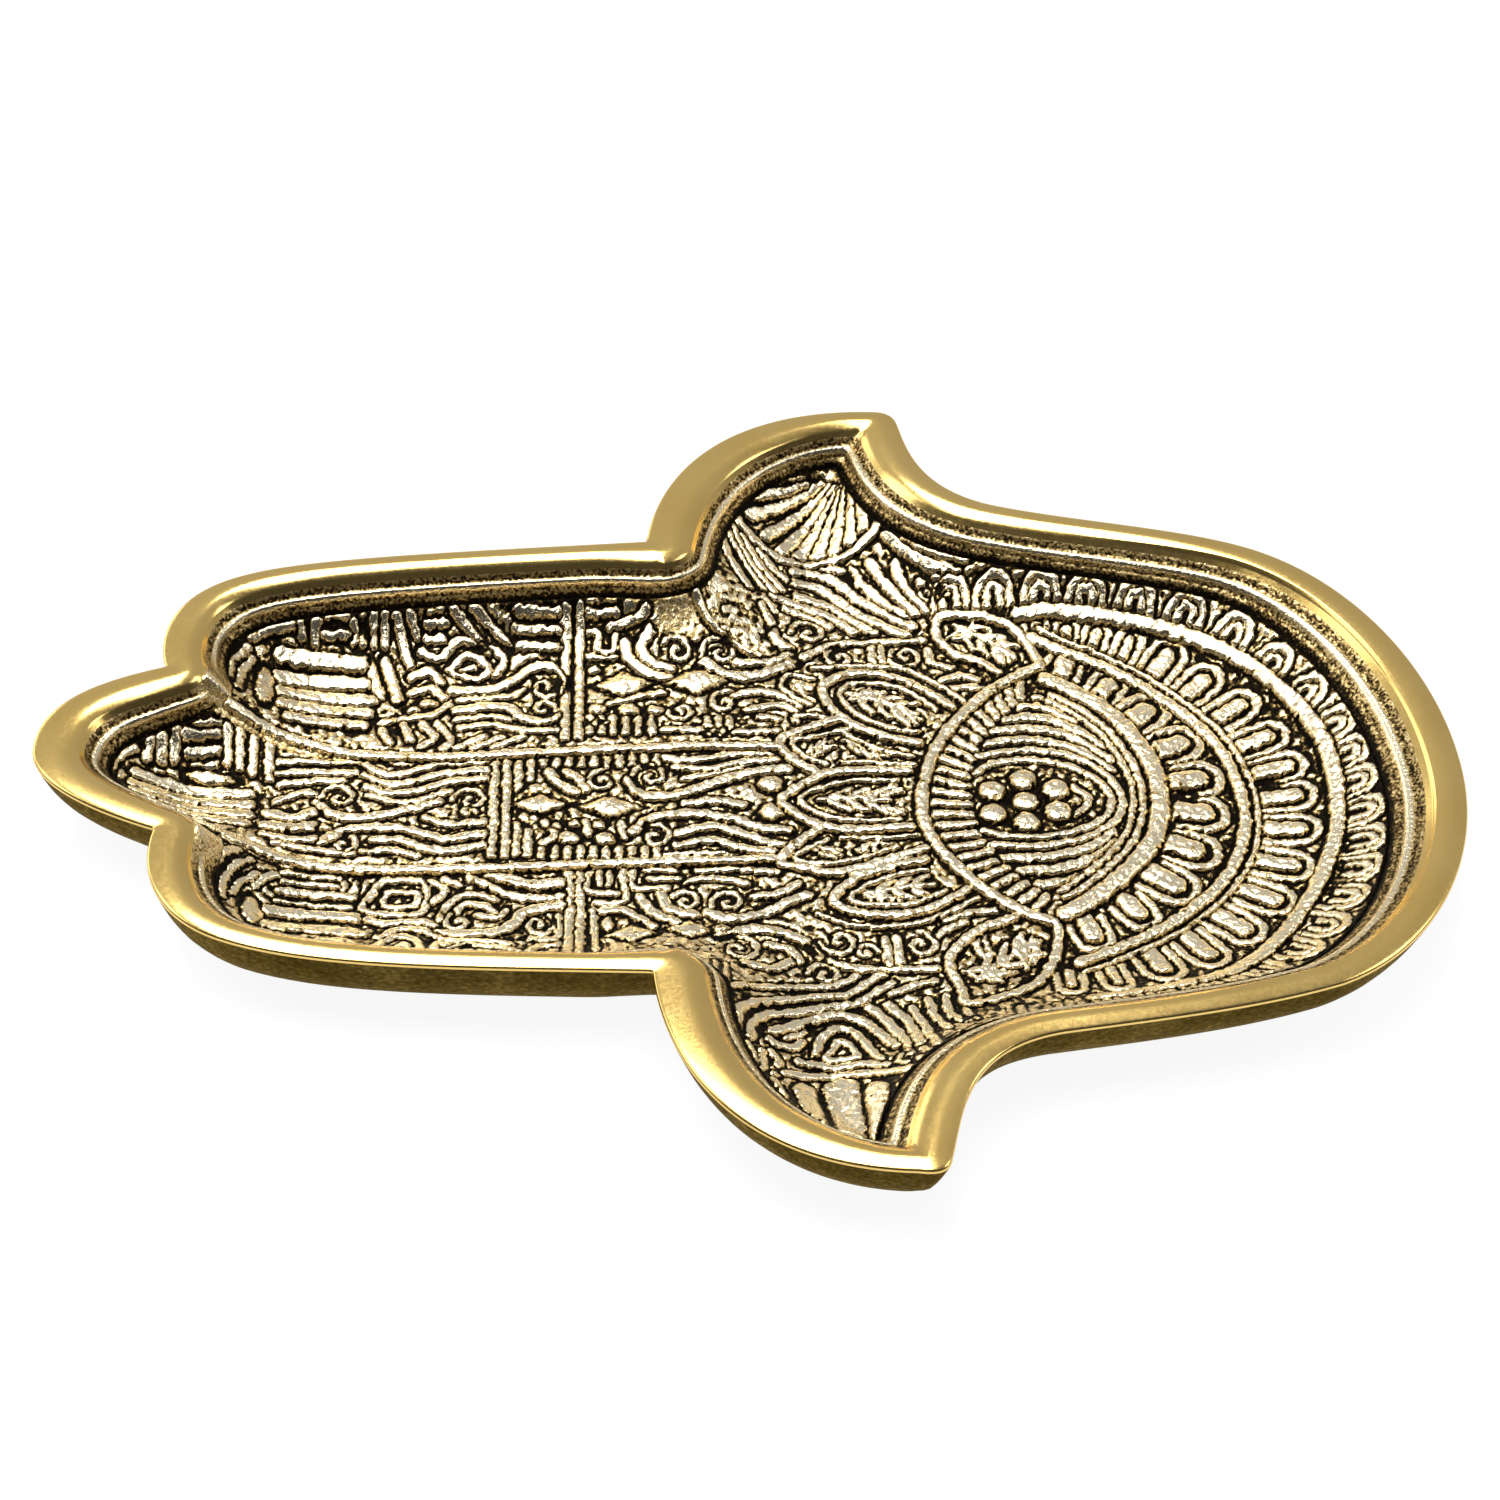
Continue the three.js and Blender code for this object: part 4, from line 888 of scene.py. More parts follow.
def draw_thumbs(r):
    """Rays at the tips, and flowing lines that lead to the palm."""
    upper = [
        ([(-4.4, 79), (0.6, 74.3), (6, 71), (12.8, 69.9), (19.6, 70.4), (24.4, 72.6), (29.4, 76.4)], 1.9),
        ([(-5.6, 75.6), (-2.3, 69.4), (3.3, 60.8)], 1.5), ([(-3.4, 74.6), (0.4, 67), (5.8, 59.8)], 1.5),
        ([(-6, 71), (-3.4, 65), (0.2, 60)], 1.5),
        ([(-1, 73.4), (2.6, 67.4), (7.4, 61.6)], 1.5), ([(2.4, 71.6), (5.2, 67.6), (8.6, 64.4)], 1.4),
        ([(10.1, 67.6), (14.9, 66.9), (19.6, 63.6), (23, 59.4), (28.5, 55.3), (34.6, 51.2)], 2.0),
        ([(9.8, 64.2), (14.2, 63.4), (18.3, 60.1), (23, 55.3), (29.2, 51.2), (33.2, 48.9)], 2.0),
        ([(10.3, 60.2), (16.2, 58), (21, 54), (26.4, 49.8)], 1.9),
        ([(5.3, 59.2), (11.5, 56.6), (17.4, 54.6), (22.4, 50)], 1.9),
        ([(21.7, 67), (25, 62.2), (28.5, 58.1), (33.2, 53.6)], 1.9),
        ([(26, 68), (28.5, 63.6), (31.4, 59.6), (35.3, 54.8)], 1.9),
        ([(31.4, 66.4), (32.6, 62.2), (35.3, 58.2), (38, 55.2)], 1.8),
        ([(16, 68.4), (20.6, 67.2), (22.6, 65)], 1.5),
        ([(30, 75.4), (34.6, 70.4), (40, 66.8), (46, 64.6)], 2.1),
        ([(29.4, 72.6), (33.2, 68.4), (38, 64.8), (44, 62.4)], 1.8),
        ([(36.4, 61.8), (38.8, 59), (42, 58.2)], 1.5), ([(39.6, 62.2), (41.6, 60.4)], 1.4),
        ([(4.8, 49.6), (5.6, 46.6), (8.2, 44.4)], 2.0), ([(2.6, 55.8), (4.4, 52), (4.6, 49.4)], 1.4),
        ([(7.6, 56), (12, 54.4), (17, 51.6)], 1.6),
    ]
    lower = [
        ([(-8.8, -48), (-8.8, -64), (-8, -74.5), (-5.4, -83), (-1.8, -88.6)], 0.9),
        ([(-6.9, -48), (-6.9, -62), (-6.2, -73.6), (-4, -80.6)], 0.9),
        ([(-5.4, -68), (-4.4, -61.8), (-1, -58), (5.2, -54.9), (11.5, -53), (16.5, -51.7), (20.2, -48.6),
          (23.4, -46)], 1.6),
        ([(-2.6, -68.6), (-2.2, -64.2), (0.9, -60.5), (6.5, -58), (12.8, -55.4), (17.8, -54.2), (21, -51.6),
          (25, -48.6)], 1.6),
        ([(-6.4, -57), (-3.4, -54.6), (2, -52.4), (8, -50.9), (14.6, -49.4), (18.4, -46.8)], 1.4),
        ([(0.4, -65.4), (4, -63), (9, -59.8), (14, -57.3), (17.8, -58.1), (21.5, -61.8),
          (24.6, -66.8)], 1.9),
        ([(9.6, -68), (10.9, -63.6), (14, -60.6), (17.1, -61.8), (19.6, -66.1), (21.5, -70.5)], 1.6),
        ([(11.4, -68.6), (14.6, -63.8), (17.4, -68.4), (11.6, -68.8)], 1.3),
        ([(7.2, -65.4), (5.4, -67.4), (1.6, -67.6), (0.2, -65)], 1.5), ([(7.6, -62.8), (4.4, -65.2)], 1.2),
        ([(6.4, -71), (12, -71), (18, -71), (22.4, -72.6)], 1.7),
        ([(1.4, -75.4), (6.4, -74.8), (12, -73.6), (19, -74), (26, -76.6), (31, -77.8)], 1.7),
        ([(1.2, -70.4), (2.6, -72.8), (1.6, -77)], 1.5), ([(-3.6, -70.6), (-2.2, -74), (-3.4, -78.6)], 1.4),
        ([(-0.6, -71), (-0.4, -75.6), (-2.4, -80.6)], 1.2),
        ([(20.4, -55), (24, -60), (27, -67.4)], 1.9), ([(24, -54.6), (27.6, -60.2), (29, -67.6)], 1.8),
        ([(28.6, -55.6), (30, -60.8), (31.4, -66.6), (32, -70.4)], 1.7),
        ([(31.8, -53.4), (32.6, -58.6), (34.4, -63.6)], 1.6),
        ([(35, -52.6), (35.4, -58), (37.4, -61.6)], 1.5), ([(38.4, -56), (39, -60.4)], 1.5),
        ([(24.8, -51.6), (29, -49.4), (33.6, -48)], 1.5),
        ([(-7.5, -37.4), (-2.5, -35.2), (4.1, -35.6), (9.6, -38.8), (12, -42.4)], 2.0),
        ([(-3, -46), (2, -46.6), (5.6, -44)], 1.8), ([(1.4, -39.4), (5.4, -40.4), (7.6, -43.4)], 1.7),
        ([(31.4, -76.6), (33.8, -71.6), (38, -67.6), (44, -65)], 1.6),
        ([(26.6, -69.6), (27.6, -73.6), (31.6, -74.6)], 1.5),
    ]
    r.lines(upper + lower)
    r.line([(-11.9, 54.2), (-9.4, 49.4), (-4, 44.6), (0.8, 41.4)], 1.7, 1.6, end=1.0)
    for x0, y0, x1, y1, width in [
        (13.4, 89.6, -1.6, 82.4, 2.2), (16.6, 90.4, 0.8, 79, 2.2), (18, 89.6, 4, 75.6, 2.3),
        (19, 88.6, 7.6, 73, 2.5), (19.8, 88, 11.4, 72, 2.7), (20.6, 88, 15.2, 72, 2.8),
        (21.4, 88.4, 18.8, 72.6, 2.7), (22.4, 89.2, 22, 74, 2.4), (23.4, 90.4, 24.8, 76, 2.2),
        (24.4, 91, 27.2, 78.4, 2.0),
    ]:
        r.line([(x0, y0), (x1, y1)], 1.2, 0.95, end=width, straight=True)
    for x0, y0, x1, y1, first, last in [
        (-0.6, -80, 0.2, -86, 1.5, 1.2), (1.4, -79.6, 4.4, -88.4, 2.2, 1.8), (7, -79.6, 9.4, -90, 4, 2.6),
        (14, -77.4, 15.2, -92.6, 5.6, 4.2), (20.2, -79.6, 19.6, -92.4, 3.8, 2.4),
        (24.2, -81, 22.8, -94, 1.5, 1.2), (26.6, -81, 25, -94.6, 1.3, 1.1),
        (28.8, -79.8, 26.8, -94.4, 1.4, 1.1),
    ]:
        r.line([(x0, y0), (x1, y1)], first, 1.0, end=last, straight=True)
    r.curls([
        (12.6, 49.4, 3.6, 180, -1.5), (38, 58.6, 2.2, 0, 1.3), (26.6, -72.4, 2.2, 90, 1.2),
        (12.4, -46.8, 3.2, 180, -1.5), (-4.2, -41.4, 4.4, 140, -1.6), (38.6, -62, 1.6, 0, 1),
    ])


def draw_relief():
    """The strokes, and the main lines that stand over them."""
    r, top = Relief(), Relief()
    draw_eye(r, top)
    draw_rings(r, top)
    draw_petals(r, top)
    draw_dividers(top)
    draw_left_finger(r)
    draw_right_finger(r)
    draw_middle_finger(r)
    draw_thumbs(r)
    return r, top


# Height, brightness and slope of the relief all over the grid
relief, main_lines = draw_relief()
corner_x, corner_y = SMOOTH_CORNER
smooth = np.maximum(flank_share(), 1 - eased(np.hypot(X - corner_x, Y - corner_y), *SMOOTH_RADII))
smooth *= 1 - eased(main_lines.tone, *MAIN_TONE)
fine_grain, coarse_grain, blobs = speckle(1), speckle(4), speckle(2)
ground = eased(relief.gap, *GROOVE) * eased(main_lines.gap, *GROOVE)
ground_height = GROUND_HEIGHT * ground * (GROUND_EVEN + GROUND_WAVES * np.clip(blobs, -1, 1))
# Painted highlight and shade on the ground: lighter on the fingers and beside the wall, darker in the palm
ground_tone_with_painted_light = np.interp(X, PALM_X, GROUND_TONES_WITH_PAINTED_LIGHT)
ground_tone_with_painted_light = np.maximum(ground_tone_with_painted_light, GROUND_TONES_WITH_PAINTED_LIGHT[0] * (1 - eased(INSET, *THIRD_ROW_INSET)))
crease = relief.creases()
clear = eased(main_lines.gap, *MAIN_CLEARANCE)
carved = np.maximum(relief.height * (1 - CREASE_DEPTH * crease), ground_height)
carved = np.maximum(carved * clear, main_lines.height)
# The ground's brightness here carries that painted highlight and shade
bright = np.maximum(relief.tone * (1 - crease), ground * np.clip(ground_tone_with_painted_light + BLOB_TONE * blobs, 0, 1))
bright = np.maximum(bright * clear, main_lines.tone)
bright -= PITS * eased(fine_grain, *PIT_GRAIN)
shown = eased(INSET, *RELIEF_INSET)
floor_depth = blurred(wall_depth(np.maximum(INSET, 0)), FLOOR_BLUR)
HEIGHT = RIM_TOP - floor_depth + carved * shown * (1 - smooth)
HEIGHT = HEIGHT + FINE_GRAIN * fine_grain + COARSE_GRAIN * coarse_grain
HEIGHT -= SUNK_DEPTH * (1 - eased(INSET, *SUNK_INSET))
TONE = bright * shown * (1 - smooth) + SMOOTH_TONE * smooth
slope_y, slope_x = np.gradient(HEIGHT, STEP)
NORMAL = np.dstack([-slope_x, -slope_y, np.ones(X.shape)])
NORMAL /= np.linalg.norm(NORMAL, axis=2)[:, :, None]


# Materials
def set_inputs(tree, node, inputs):
    """Links each named input to a socket or sets it to a value."""
    for name, value in inputs.items():
        if isinstance(value, bpy.types.NodeSocket):
            tree.links.new(value, node.inputs[name])
        else:
            node.inputs[name].default_value = value


def add_node(tree, kind, inputs=None, **settings):
    """New node with its settings and inputs."""
    node = tree.nodes.new(kind)
    for name, value in settings.items():
        setattr(node, name, value)
    set_inputs(tree, node, inputs or {})
    return node


def new_material(name):
    """Material with a shader, and the place on the object that its patterns use."""
    material = bpy.data.materials.new(name)
    material.use_nodes = True
    tree = material.node_tree
    tree.nodes.clear()
    shader = add_node(tree, "ShaderNodeBsdfPrincipled")
    add_node(tree, "ShaderNodeOutputMaterial", {"Surface": shader.outputs["BSDF"]})
    place = add_node(tree, "ShaderNodeTexCoord").outputs["Object"]
    return material, tree, shader, place


def noise(tree, place, scale, detail=2, roughness=0.5):
    """Noise between 0 and 1, its scale in bumps per metre."""
    inputs = {"Vector": place, "Scale": scale, "Detail": detail, "Roughness": roughness}
    return add_node(tree, "ShaderNodeTexNoise", inputs).outputs["Fac"]


def maths(tree, operation, a, b):
    """Result of one operation on two values."""
    return add_node(tree, "ShaderNodeMath", {0: a, 1: b}, operation=operation).outputs[0]


def ranged(tree, value, source, target):
    """A value eased from one range to another."""
    inputs = {"Value": value, "From Min": source[0], "From Max": source[1]}
    inputs.update({"To Min": target[0], "To Max": target[1]})
    return add_node(tree, "ShaderNodeMapRange", inputs, interpolation_type="SMOOTHSTEP").outputs["Result"]


def ramp(tree, value, stops):
    """Colour that follows a value through stops."""
    node = add_node(tree, "ShaderNodeValToRGB", {"Fac": value})
    bar = node.color_ramp
    while len(bar.elements) < len(stops):
        bar.elements.new(0.5)
    for element, (at, colour) in zip(bar.elements, stops):
        element.position = at
        element.color = (*colour, 1)
    return node.outputs["Color"]


def bump(tree, height, strength, distance):
    """Surface bump from a height pattern."""
    node = add_node(tree, "ShaderNodeBump", {"Height": height, "Strength": strength, "Distance": distance})
    return node.outputs["Normal"]


def relief_brass():
    """Brass brushed bright on the high places over a dark patina in the low ones. The tone also carries the
    ground's painted highlight and shade.
    """
    material, tree, shader, place = new_material("relief_brass")
    tone = add_node(tree, "ShaderNodeAttribute", attribute_name="tone").outputs["Fac"]
    fine = noise(tree, place, scale=1500, detail=3, roughness=0.6)
    patches = noise(tree, place, scale=260)
    rough = maths(tree, "MULTIPLY", maths(tree, "SUBTRACT", fine, 0.5), 1.3)
    drift = maths(tree, "MULTIPLY", maths(tree, "SUBTRACT", patches, 0.5), 0.3)
    level = maths(tree, "ADD", maths(tree, "ADD", tone, rough), drift)
    patina_to_bright = [
        (0.0, (0.004, 0.003, 0.002)), (0.32, (0.014, 0.01, 0.005)), (0.44, (0.18, 0.115, 0.038)),
        (0.58, (0.64, 0.47, 0.2)), (0.84, (0.9, 0.79, 0.56)),
    ]
    set_inputs(tree, shader, {
        "Base Color": ramp(tree, level, patina_to_bright),
        "Metallic": 1,
        "Roughness": ranged(tree, level, (0.3, 0.8), (0.5, 0.17)),
        "Normal": bump(tree, fine, strength=0.5, distance=0.0003),
    })
    return material


def rim_brass():
    """Satin hand-polished brass with faint unevenness."""
    material, tree, shader, place = new_material("rim_brass")
    wide = noise(tree, place, scale=45)
    fine = noise(tree, place, scale=1300, detail=3, roughness=0.6)
    set_inputs(tree, shader, {
        "Base Color": ramp(tree, wide, [(0.3, (0.79, 0.54, 0.17)), (0.7, (0.84, 0.6, 0.21))]),
        "Metallic": 1,
        "Roughness": ranged(tree, fine, (0.3, 0.7), (0.17, 0.24)),
        "Normal": bump(tree, fine, strength=0.12, distance=0.0001),
    })
    return material


def cast_outside():
    """Dark rough skin of the sand casting, outside and underneath."""
    material, tree, shader, place = new_material("cast_outside")
    fine = noise(tree, place, scale=900, detail=4, roughness=0.65)
    wide = noise(tree, place, scale=70, detail=3)
    level = maths(tree, "ADD", maths(tree, "MULTIPLY", fine, 0.6), maths(tree, "MULTIPLY", wide, 0.4))
    browns = [(0.3, (0.014, 0.009, 0.003)), (0.52, (0.085, 0.058, 0.018)), (0.7, (0.21, 0.15, 0.05))]
    set_inputs(tree, shader, {
        "Base Color": ramp(tree, level, browns),
        "Metallic": 1,
        "Specular Tint": (0.85, 0.7, 0.45, 1),
        "Roughness": ranged(tree, fine, (0.3, 0.7), (0.62, 0.45)),
        "Normal": bump(tree, fine, strength=0.7, distance=0.0004),
    })
    return material


def felt_cloth():
    """Dense pressed felt."""
    material, tree, shader, place = new_material("felt_cloth")
    fibres = noise(tree, place, scale=2600, detail=5, roughness=0.7)
    set_inputs(tree, shader, {
        "Base Color": ramp(tree, fibres, [(0.3, (0.016, 0.012, 0.009)), (0.7, (0.07, 0.055, 0.042))]),
        "Roughness": 0.95,
        "Sheen Weight": 0.3,
        "Normal": bump(tree, fibres, strength=0.8, distance=0.0003),
    })
    return material


# Meshes
def make_piece(name, points, faces, materials, face_material=None, tone=None, normals=None):
    """One piece of the object from millimetre points."""
    mesh = bpy.data.meshes.new(name)
    mesh.from_pydata((points * MM).tolist(), [], faces)
    for material in materials:
        mesh.materials.append(material)
    if face_material is not None:
        mesh.polygons.foreach_set("material_index", np.asarray(face_material, np.int32))
    mesh.polygons.foreach_set("use_smooth", np.ones(len(mesh.polygons), bool))
    if tone is not None:
        brightness = mesh.attributes.new("tone", "FLOAT", "POINT")
        brightness.data.foreach_set("value", np.asarray(tone, np.float32))
    if normals is not None:
        mesh.normals_split_custom_set_from_vertices(normals.tolist())
    mesh.update()
    piece = bpy.data.objects.new(name, mesh)
    bpy.context.scene.collection.objects.link(piece)
    return piece


def over_origin(plan):
    """Plan points moved so that the middle of the hand lies over the origin."""
    return np.asarray(plan) * INSIDE_BOX - MIDDLE


def loft(rings, bottom, top):
    """Points and faces of a closed skin through rings, from a bottom middle point to a top one."""
    count = len(rings[0])
    here = np.arange(count)
    after = np.roll(here, -1)
    last = (len(rings) - 1) * count
    faces = []
    for low in range(0, last, count):
        high = low + count
        faces.extend(np.column_stack([low + here, low + after, high + after, high + here]).tolist())
    points = np.vstack([*rings, [bottom, top]])
    faces.extend(np.column_stack([np.full(count, len(points) - 2), after, here]).tolist())
    faces.extend(np.column_stack([np.full(count, len(points) - 1), last + here, last + after]).tolist())
    return points, faces


def wall_rings():
    """Rings of the inner wall with its grooves and raised line: inset, depth and tone."""
    insets, rises, tones = zip(*WALL_LINES)
    from_fingers = np.min([np.hypot(*(EDGE - notch).T) for notch in FINGER_NOTCHES], axis=0)
    lined = eased(from_fingers, *NOTCH_REACH)
    rings = []
    for inset in np.arange(insets[0] + RING_STEP, insets[-1], RING_STEP):
        fin_width = np.interp(inset, (RIM_WIDTH, SEAM), FIN_WIDTHS)
        fin = np.exp(-((from_fingers / fin_width) ** 2)) * eased(inset, *FIN_INSET)
        depth = wall_depth(inset) - np.interp(inset, insets, rises) * lined - FIN_RISE * fin
        tone = PLAIN_WALL_TONE + (np.interp(inset, insets, tones) - PLAIN_WALL_TONE) * lined
        rings.append((inset, depth, np.maximum(tone, fin)))
    return rings


def rim_inset(inset):
    """Inset of a rim or wall ring all round, with the rim's varying width evened out by the seam."""
    x, y = EDGE.T
    extra = np.interp(x, RIM_PLACES, RIM_SHARES) - 1
    extra += THUMB_RIM_EXTRA * eased(np.abs(y), *THUMB_SIDE_Y) * (1 - eased(x, *THUMB_SIDE_X))
    if inset <= RIM_WIDTH:
        return inset * (1 + extra)
    return inset + extra * RIM_WIDTH * np.clip((SEAM - inset) / (SEAM - RIM_WIDTH), 0, 1)


def make_body(materials):
    """Underside, outer wall, rim and inner wall as one closed skin under the relief."""
    rings, kinds, tones = [], [], []

    def add_ring(inset, depth, kind, tone):
        plan = over_origin(inset_ring(inset))
        rings.append(np.column_stack([plan, RIM_TOP - depth * np.ones(len(plan))]))
        kinds.append(kind)
        tones.append(tone * np.ones(len(plan)))

    for inset, depth in UNDERSIDE + OUTER_WALL:
        add_ring(inset, depth, OUTSIDE, 0)
    flatter = WRIST_FLATNESS * eased(EDGE[:, 0], *WRIST_X)
    for inset, depth in RIM[:-1]:
        add_ring(rim_inset(inset), depth * (1 - flatter * eased(inset, *SHOULDER_INSET)), POLISHED, 1)
    add_ring(rim_inset(RIM_WIDTH), RIM[-1][1], POLISHED, 1)
    for inset, depth, tone in wall_rings():
        add_ring(rim_inset(inset), depth, POLISHED if inset < POLISHED_TO else CARVED, tone)
    for inset, below in HIDDEN:
        add_ring(inset, wall_depth(inset) + below, CARVED, 0)
    x, y = over_origin((0, 0))
    points, faces = loft(rings, (x, y, RIM_TOP - BASE_DEPTH), (x, y, RIM_TOP - DEEPEST - HIDDEN[-1][1]))
    face_kinds = []
    for kind, next_kind in zip(kinds, kinds[1:]):
        joint = POLISHED if next_kind == CARVED and kind != CARVED else next_kind
        face_kinds.extend([joint] * len(EDGE))
    face_kinds.extend([OUTSIDE] * len(EDGE) + [CARVED] * len(EDGE))
    return make_piece("dish_body", points, faces, materials, face_kinds, np.concatenate([*tones, [0, 0]]))


def without_touching_corners(cells):
    """Cells of a sheet, less those that meet others only at a corner."""
    cells = cells.copy()
    for _ in range(CORNER_PASSES):
        for a, b, c, d in (
            (cells[:-1, :-1], cells[1:, 1:], cells[:-1, 1:], cells[1:, :-1]),
            (cells[:-1, 1:], cells[1:, :-1], cells[:-1, :-1], cells[1:, 1:]),
        ):
            a[a & b & ~c & ~d] = False
    return cells


def make_sheet(name, cells, material):
    """Part of the relief as a closed slab: carved top, skirt and flat underside."""
    j, i = np.nonzero(without_touching_corners(cells))
    width = len(XS)
    first = j * width + i
    quads = np.column_stack([first, first + 1, first + width + 1, first + width])
    starts, ends = quads.ravel(), np.roll(quads, -1, 1).ravel()
    total = X.size
    rim = ~np.isin(starts * total + ends, ends * total + starts)
    used = np.unique(quads)
    border = np.unique(starts[rim])
    top_index = np.zeros(total, int)
    top_index[used] = np.arange(len(used))
    low_index = np.zeros(total, int)
    low_index[border] = len(used) + np.arange(len(border))
    plan = over_origin(np.column_stack([X.ravel(), Y.ravel()]))
    top = np.column_stack([plan[used], HEIGHT.ravel()[used]])
    low = np.column_stack([plan[border], np.full(len(border), RIM_TOP - DEEPEST - SHEET_THICKNESS)])
    faces = top_index[quads].tolist()
    follow = dict(zip(starts[rim].tolist(), ends[rim].tolist()))
    for a, b in follow.items():
        faces.append([top_index[b], top_index[a], low_index[a], low_index[b]])
    while follow:
        loop = [next(iter(follow))]
        while loop[-1] in follow:
            loop.append(follow.pop(loop[-1]))
        faces.append([int(low_index[v]) for v in reversed(loop[1:])])
    normals = np.vstack([NORMAL.reshape(-1, 3)[used], np.tile((0.0, 0.0, -1.0), (len(border), 1))])
    tone = np.concatenate([TONE.ravel()[used], np.zeros(len(border))])
    return make_piece(name, np.vstack([top, low]), faces, [material], None, tone, normals)


def make_pad(name, material):
    """Felt disc with a soft edge, in the place of one CAD pad."""
    low, high = (np.array(corner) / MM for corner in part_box(name))
    middle, radius, height = (low + high) / 2, (high[0] - low[0]) / 2, high[2] - low[2]
    x, y = middle[:2]
    angle = np.arange(PAD_SIDES) * 2 * math.pi / PAD_SIDES
    fuzz = 1 - PAD_FUZZ * chance.random(PAD_SIDES)
    rings = []
    for share, level in PAD_PROFILE:
        r = radius * share * fuzz
        z = np.full(PAD_SIDES, low[2] + height * level)
        rings.append(np.column_stack([x + r * np.cos(angle), y + r * np.sin(angle), z]))
    points, faces = loft(rings, (x, y, low[2]), (x, y, high[2]))
    return make_piece(name + "_cloth", points, faces, [material])


relief_metal = relief_brass()
body = make_body([cast_outside(), rim_brass(), relief_metal])
inside = INSET >= SHEET_EDGE
cells = inside[:-1, :-1] & inside[1:, :-1] & inside[:-1, 1:] & inside[1:, 1:]
cell_x, cell_y = X[:-1, :-1] + STEP / 2, Y[:-1, :-1] + STEP / 2
in_thumb = (np.abs(cell_y) > THUMB_Y) & (cell_x < THUMB_END_X)
in_fingers = (cell_x < FINGERS_END_X) & ~in_thumb
in_palm = ~in_thumb & ~in_fingers
zones = {
    "relief_eye": in_palm & (cell_x < EYE_MIDDLE_X),
    "relief_scallops": in_palm & (cell_x > EYE_MIDDLE_X),
    "relief_middle_finger": in_fingers & (np.abs(cell_y) < FINGER_SPLIT_Y),
    "relief_left_finger": in_fingers & (cell_y > FINGER_SPLIT_Y),
    "relief_right_finger": in_fingers & (cell_y < -FINGER_SPLIT_Y),
    "relief_left_thumb": in_thumb & (cell_y > 0),
    "relief_right_thumb": in_thumb & (cell_y < 0),
}
casting_pieces = [body]
for name, zone in zones.items():
    casting_pieces.append(make_sheet(name, cells & zone, relief_metal))
for piece in casting_pieces:
    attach(piece, "root")
    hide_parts("bowl_casting")
cloth = felt_cloth()
for name in ("felt_pad_finger_left", "felt_pad_finger_right", "felt_pad_palm_left", "felt_pad_palm_right"):
    pad = make_pad(name, cloth)
    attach(pad, "root")
    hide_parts(name)

# Camera at the photograph's viewing angle
ELEVATION = math.radians(44.649)
YAW = math.radians(3.114)
ROLL = math.radians(2.528)
CAMERA_DISTANCE = 0.69198
AIM = Vector((-0.0003, 0.00012, (RIM_TOP - 0.9) * MM))
unturn = Matrix.Rotation(-YAW, 3, "Z")
right = Vector((1, 0, 0))
ahead = Vector((0, math.cos(ELEVATION), -math.sin(ELEVATION)))
up = Vector((0, math.sin(ELEVATION), math.cos(ELEVATION)))
rolled_right = math.cos(ROLL) * right + math.sin(ROLL) * up
rolled_up = -math.sin(ROLL) * right + math.cos(ROLL) * up
camera = bpy.data.objects.new("camera", bpy.data.cameras.new("camera"))
camera.data.sensor_width = 36
camera.data.lens = 84
camera.data.clip_start = 0.05
camera.data.clip_end = 20
axes = Matrix((unturn @ rolled_right, unturn @ rolled_up, -(unturn @ ahead))).transposed()
camera.matrix_world = Matrix.Translation(AIM - CAMERA_DISTANCE * (unturn @ ahead)) @ axes.to_4x4()
bpy.context.scene.collection.objects.link(camera)
bpy.context.scene.camera = camera

# Floor that looks white and keeps the shadow. Metal sees it white too.
FLOOR_REACH = 4
FLOOR_GREY = 0.13
FLOOR_GLOW = 0.92
corners = [(-FLOOR_REACH, -FLOOR_REACH, 0), (FLOOR_REACH, -FLOOR_REACH, 0)]
corners += [(FLOOR_REACH, FLOOR_REACH, 0), (-FLOOR_REACH, FLOOR_REACH, 0)]
floor_mesh = bpy.data.meshes.new("floor")
floor_mesh.from_pydata(corners, [], [(0, 1, 2, 3)])
white_floor = bpy.data.objects.new("floor", floor_mesh)
bpy.context.scene.collection.objects.link(white_floor)
paper, tree, shader, place = new_material("white_paper")
rays = add_node(tree, "ShaderNodeLightPath").outputs
seen = maths(tree, "MAXIMUM", rays["Is Camera Ray"], rays["Is Glossy Ray"])
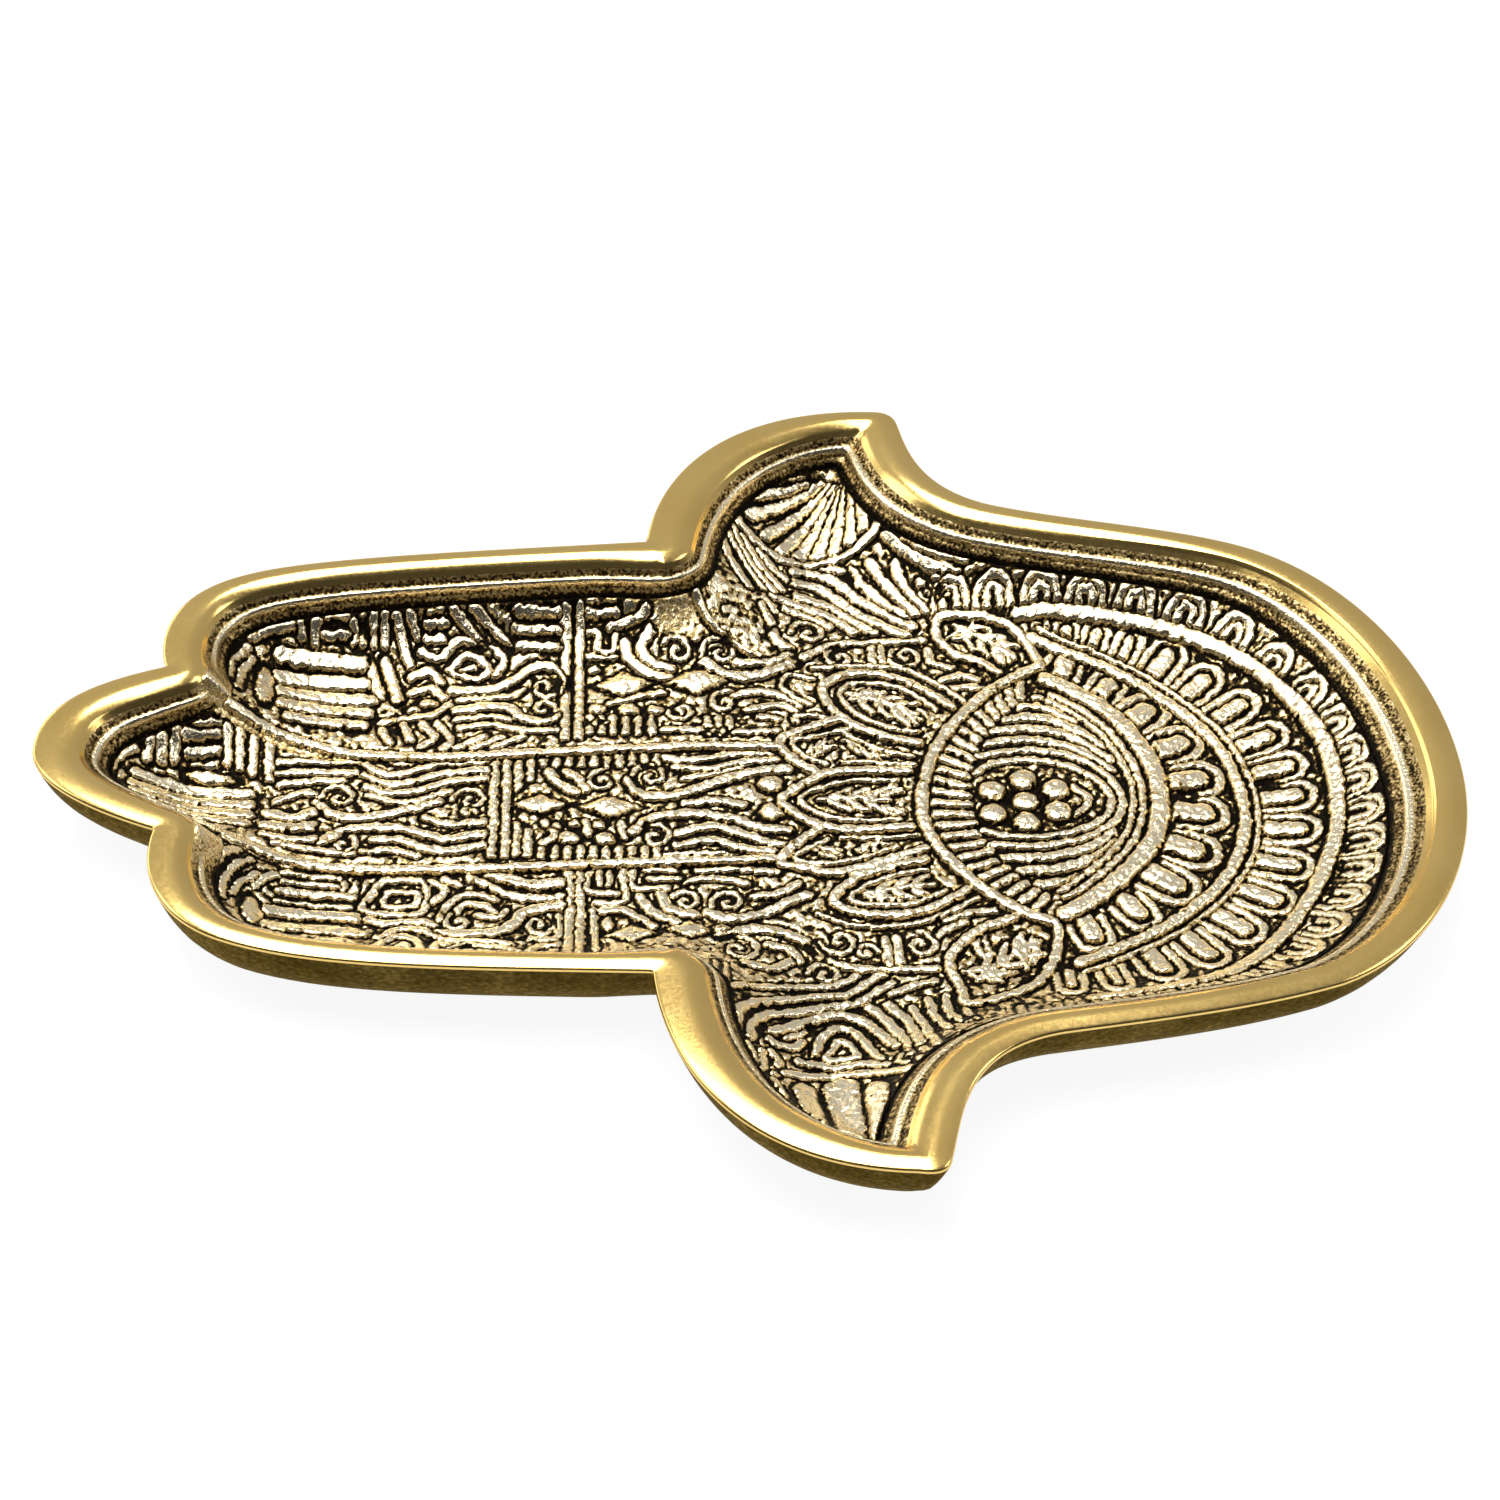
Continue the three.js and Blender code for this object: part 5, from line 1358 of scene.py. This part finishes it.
seen = maths(tree, "MAXIMUM", seen, rays["Is Transmission Ray"])
set_inputs(tree, shader, {
    "Base Color": (FLOOR_GREY, FLOOR_GREY, FLOOR_GREY, 1),
    "Roughness": 0.9,
    "Specular IOR Level": 0.0,
    "Emission Color": (1, 1, 1, 1),
    "Emission Strength": maths(tree, "MULTIPLY", seen, FLOOR_GLOW),
})
floor_mesh.materials.append(paper)


# Soft studio light
def add_softbox(name, place, target, size, power):
    """Rectangular area light that faces a target."""
    light = bpy.data.lights.new(name, "AREA")
    light.shape = "RECTANGLE"
    light.size, light.size_y = size
    light.energy = power
    lamp = bpy.data.objects.new(name, light)
    lamp.location = place
    lamp.rotation_euler = (Vector(target) - Vector(place)).to_track_quat("-Z", "Y").to_euler()
    bpy.context.scene.collection.objects.link(lamp)


add_softbox("softbox_top", (-0.17, 0.09, 0.95), (-0.17, 0.09, 0), size=(0.64, 0.82), power=13)
add_softbox("softbox_left", (-0.9, 0.2, 0.7), (0, 0, 0), size=(0.5, 0.5), power=2)
add_softbox("softbox_back_left", (-1.0, 0.95, 0.3), (0.05, 0, 0), size=(0.9, 0.5), power=2.5)
add_softbox("softbox_right", (0.95, 0.05, 0.8), (0, 0, 0), size=(0.5, 0.5), power=2.7)

# The room is brighter behind the dish than in front of it, and a little brighter on the left
world = bpy.data.worlds.new("studio")
world.use_nodes = True
bpy.context.scene.world = world
tree = world.node_tree
tree.nodes.clear()
direction = add_node(tree, "ShaderNodeTexCoord").outputs["Generated"]
parts = add_node(tree, "ShaderNodeSeparateXYZ", {"Vector": direction}).outputs
front_to_back = ranged(tree, parts["Y"], (-0.5, 0.6), (0.08, 0.66))
left_to_right = ranged(tree, parts["X"], (-0.5, 0.7), (0.85, 0.7))
glow = maths(tree, "MULTIPLY", front_to_back, left_to_right)
background = add_node(tree, "ShaderNodeBackground", {"Color": (1, 1, 1, 1), "Strength": glow})
add_node(tree, "ShaderNodeOutputWorld", {"Surface": background.outputs["Background"]})

bpy.context.scene.view_settings.view_transform = "Standard"
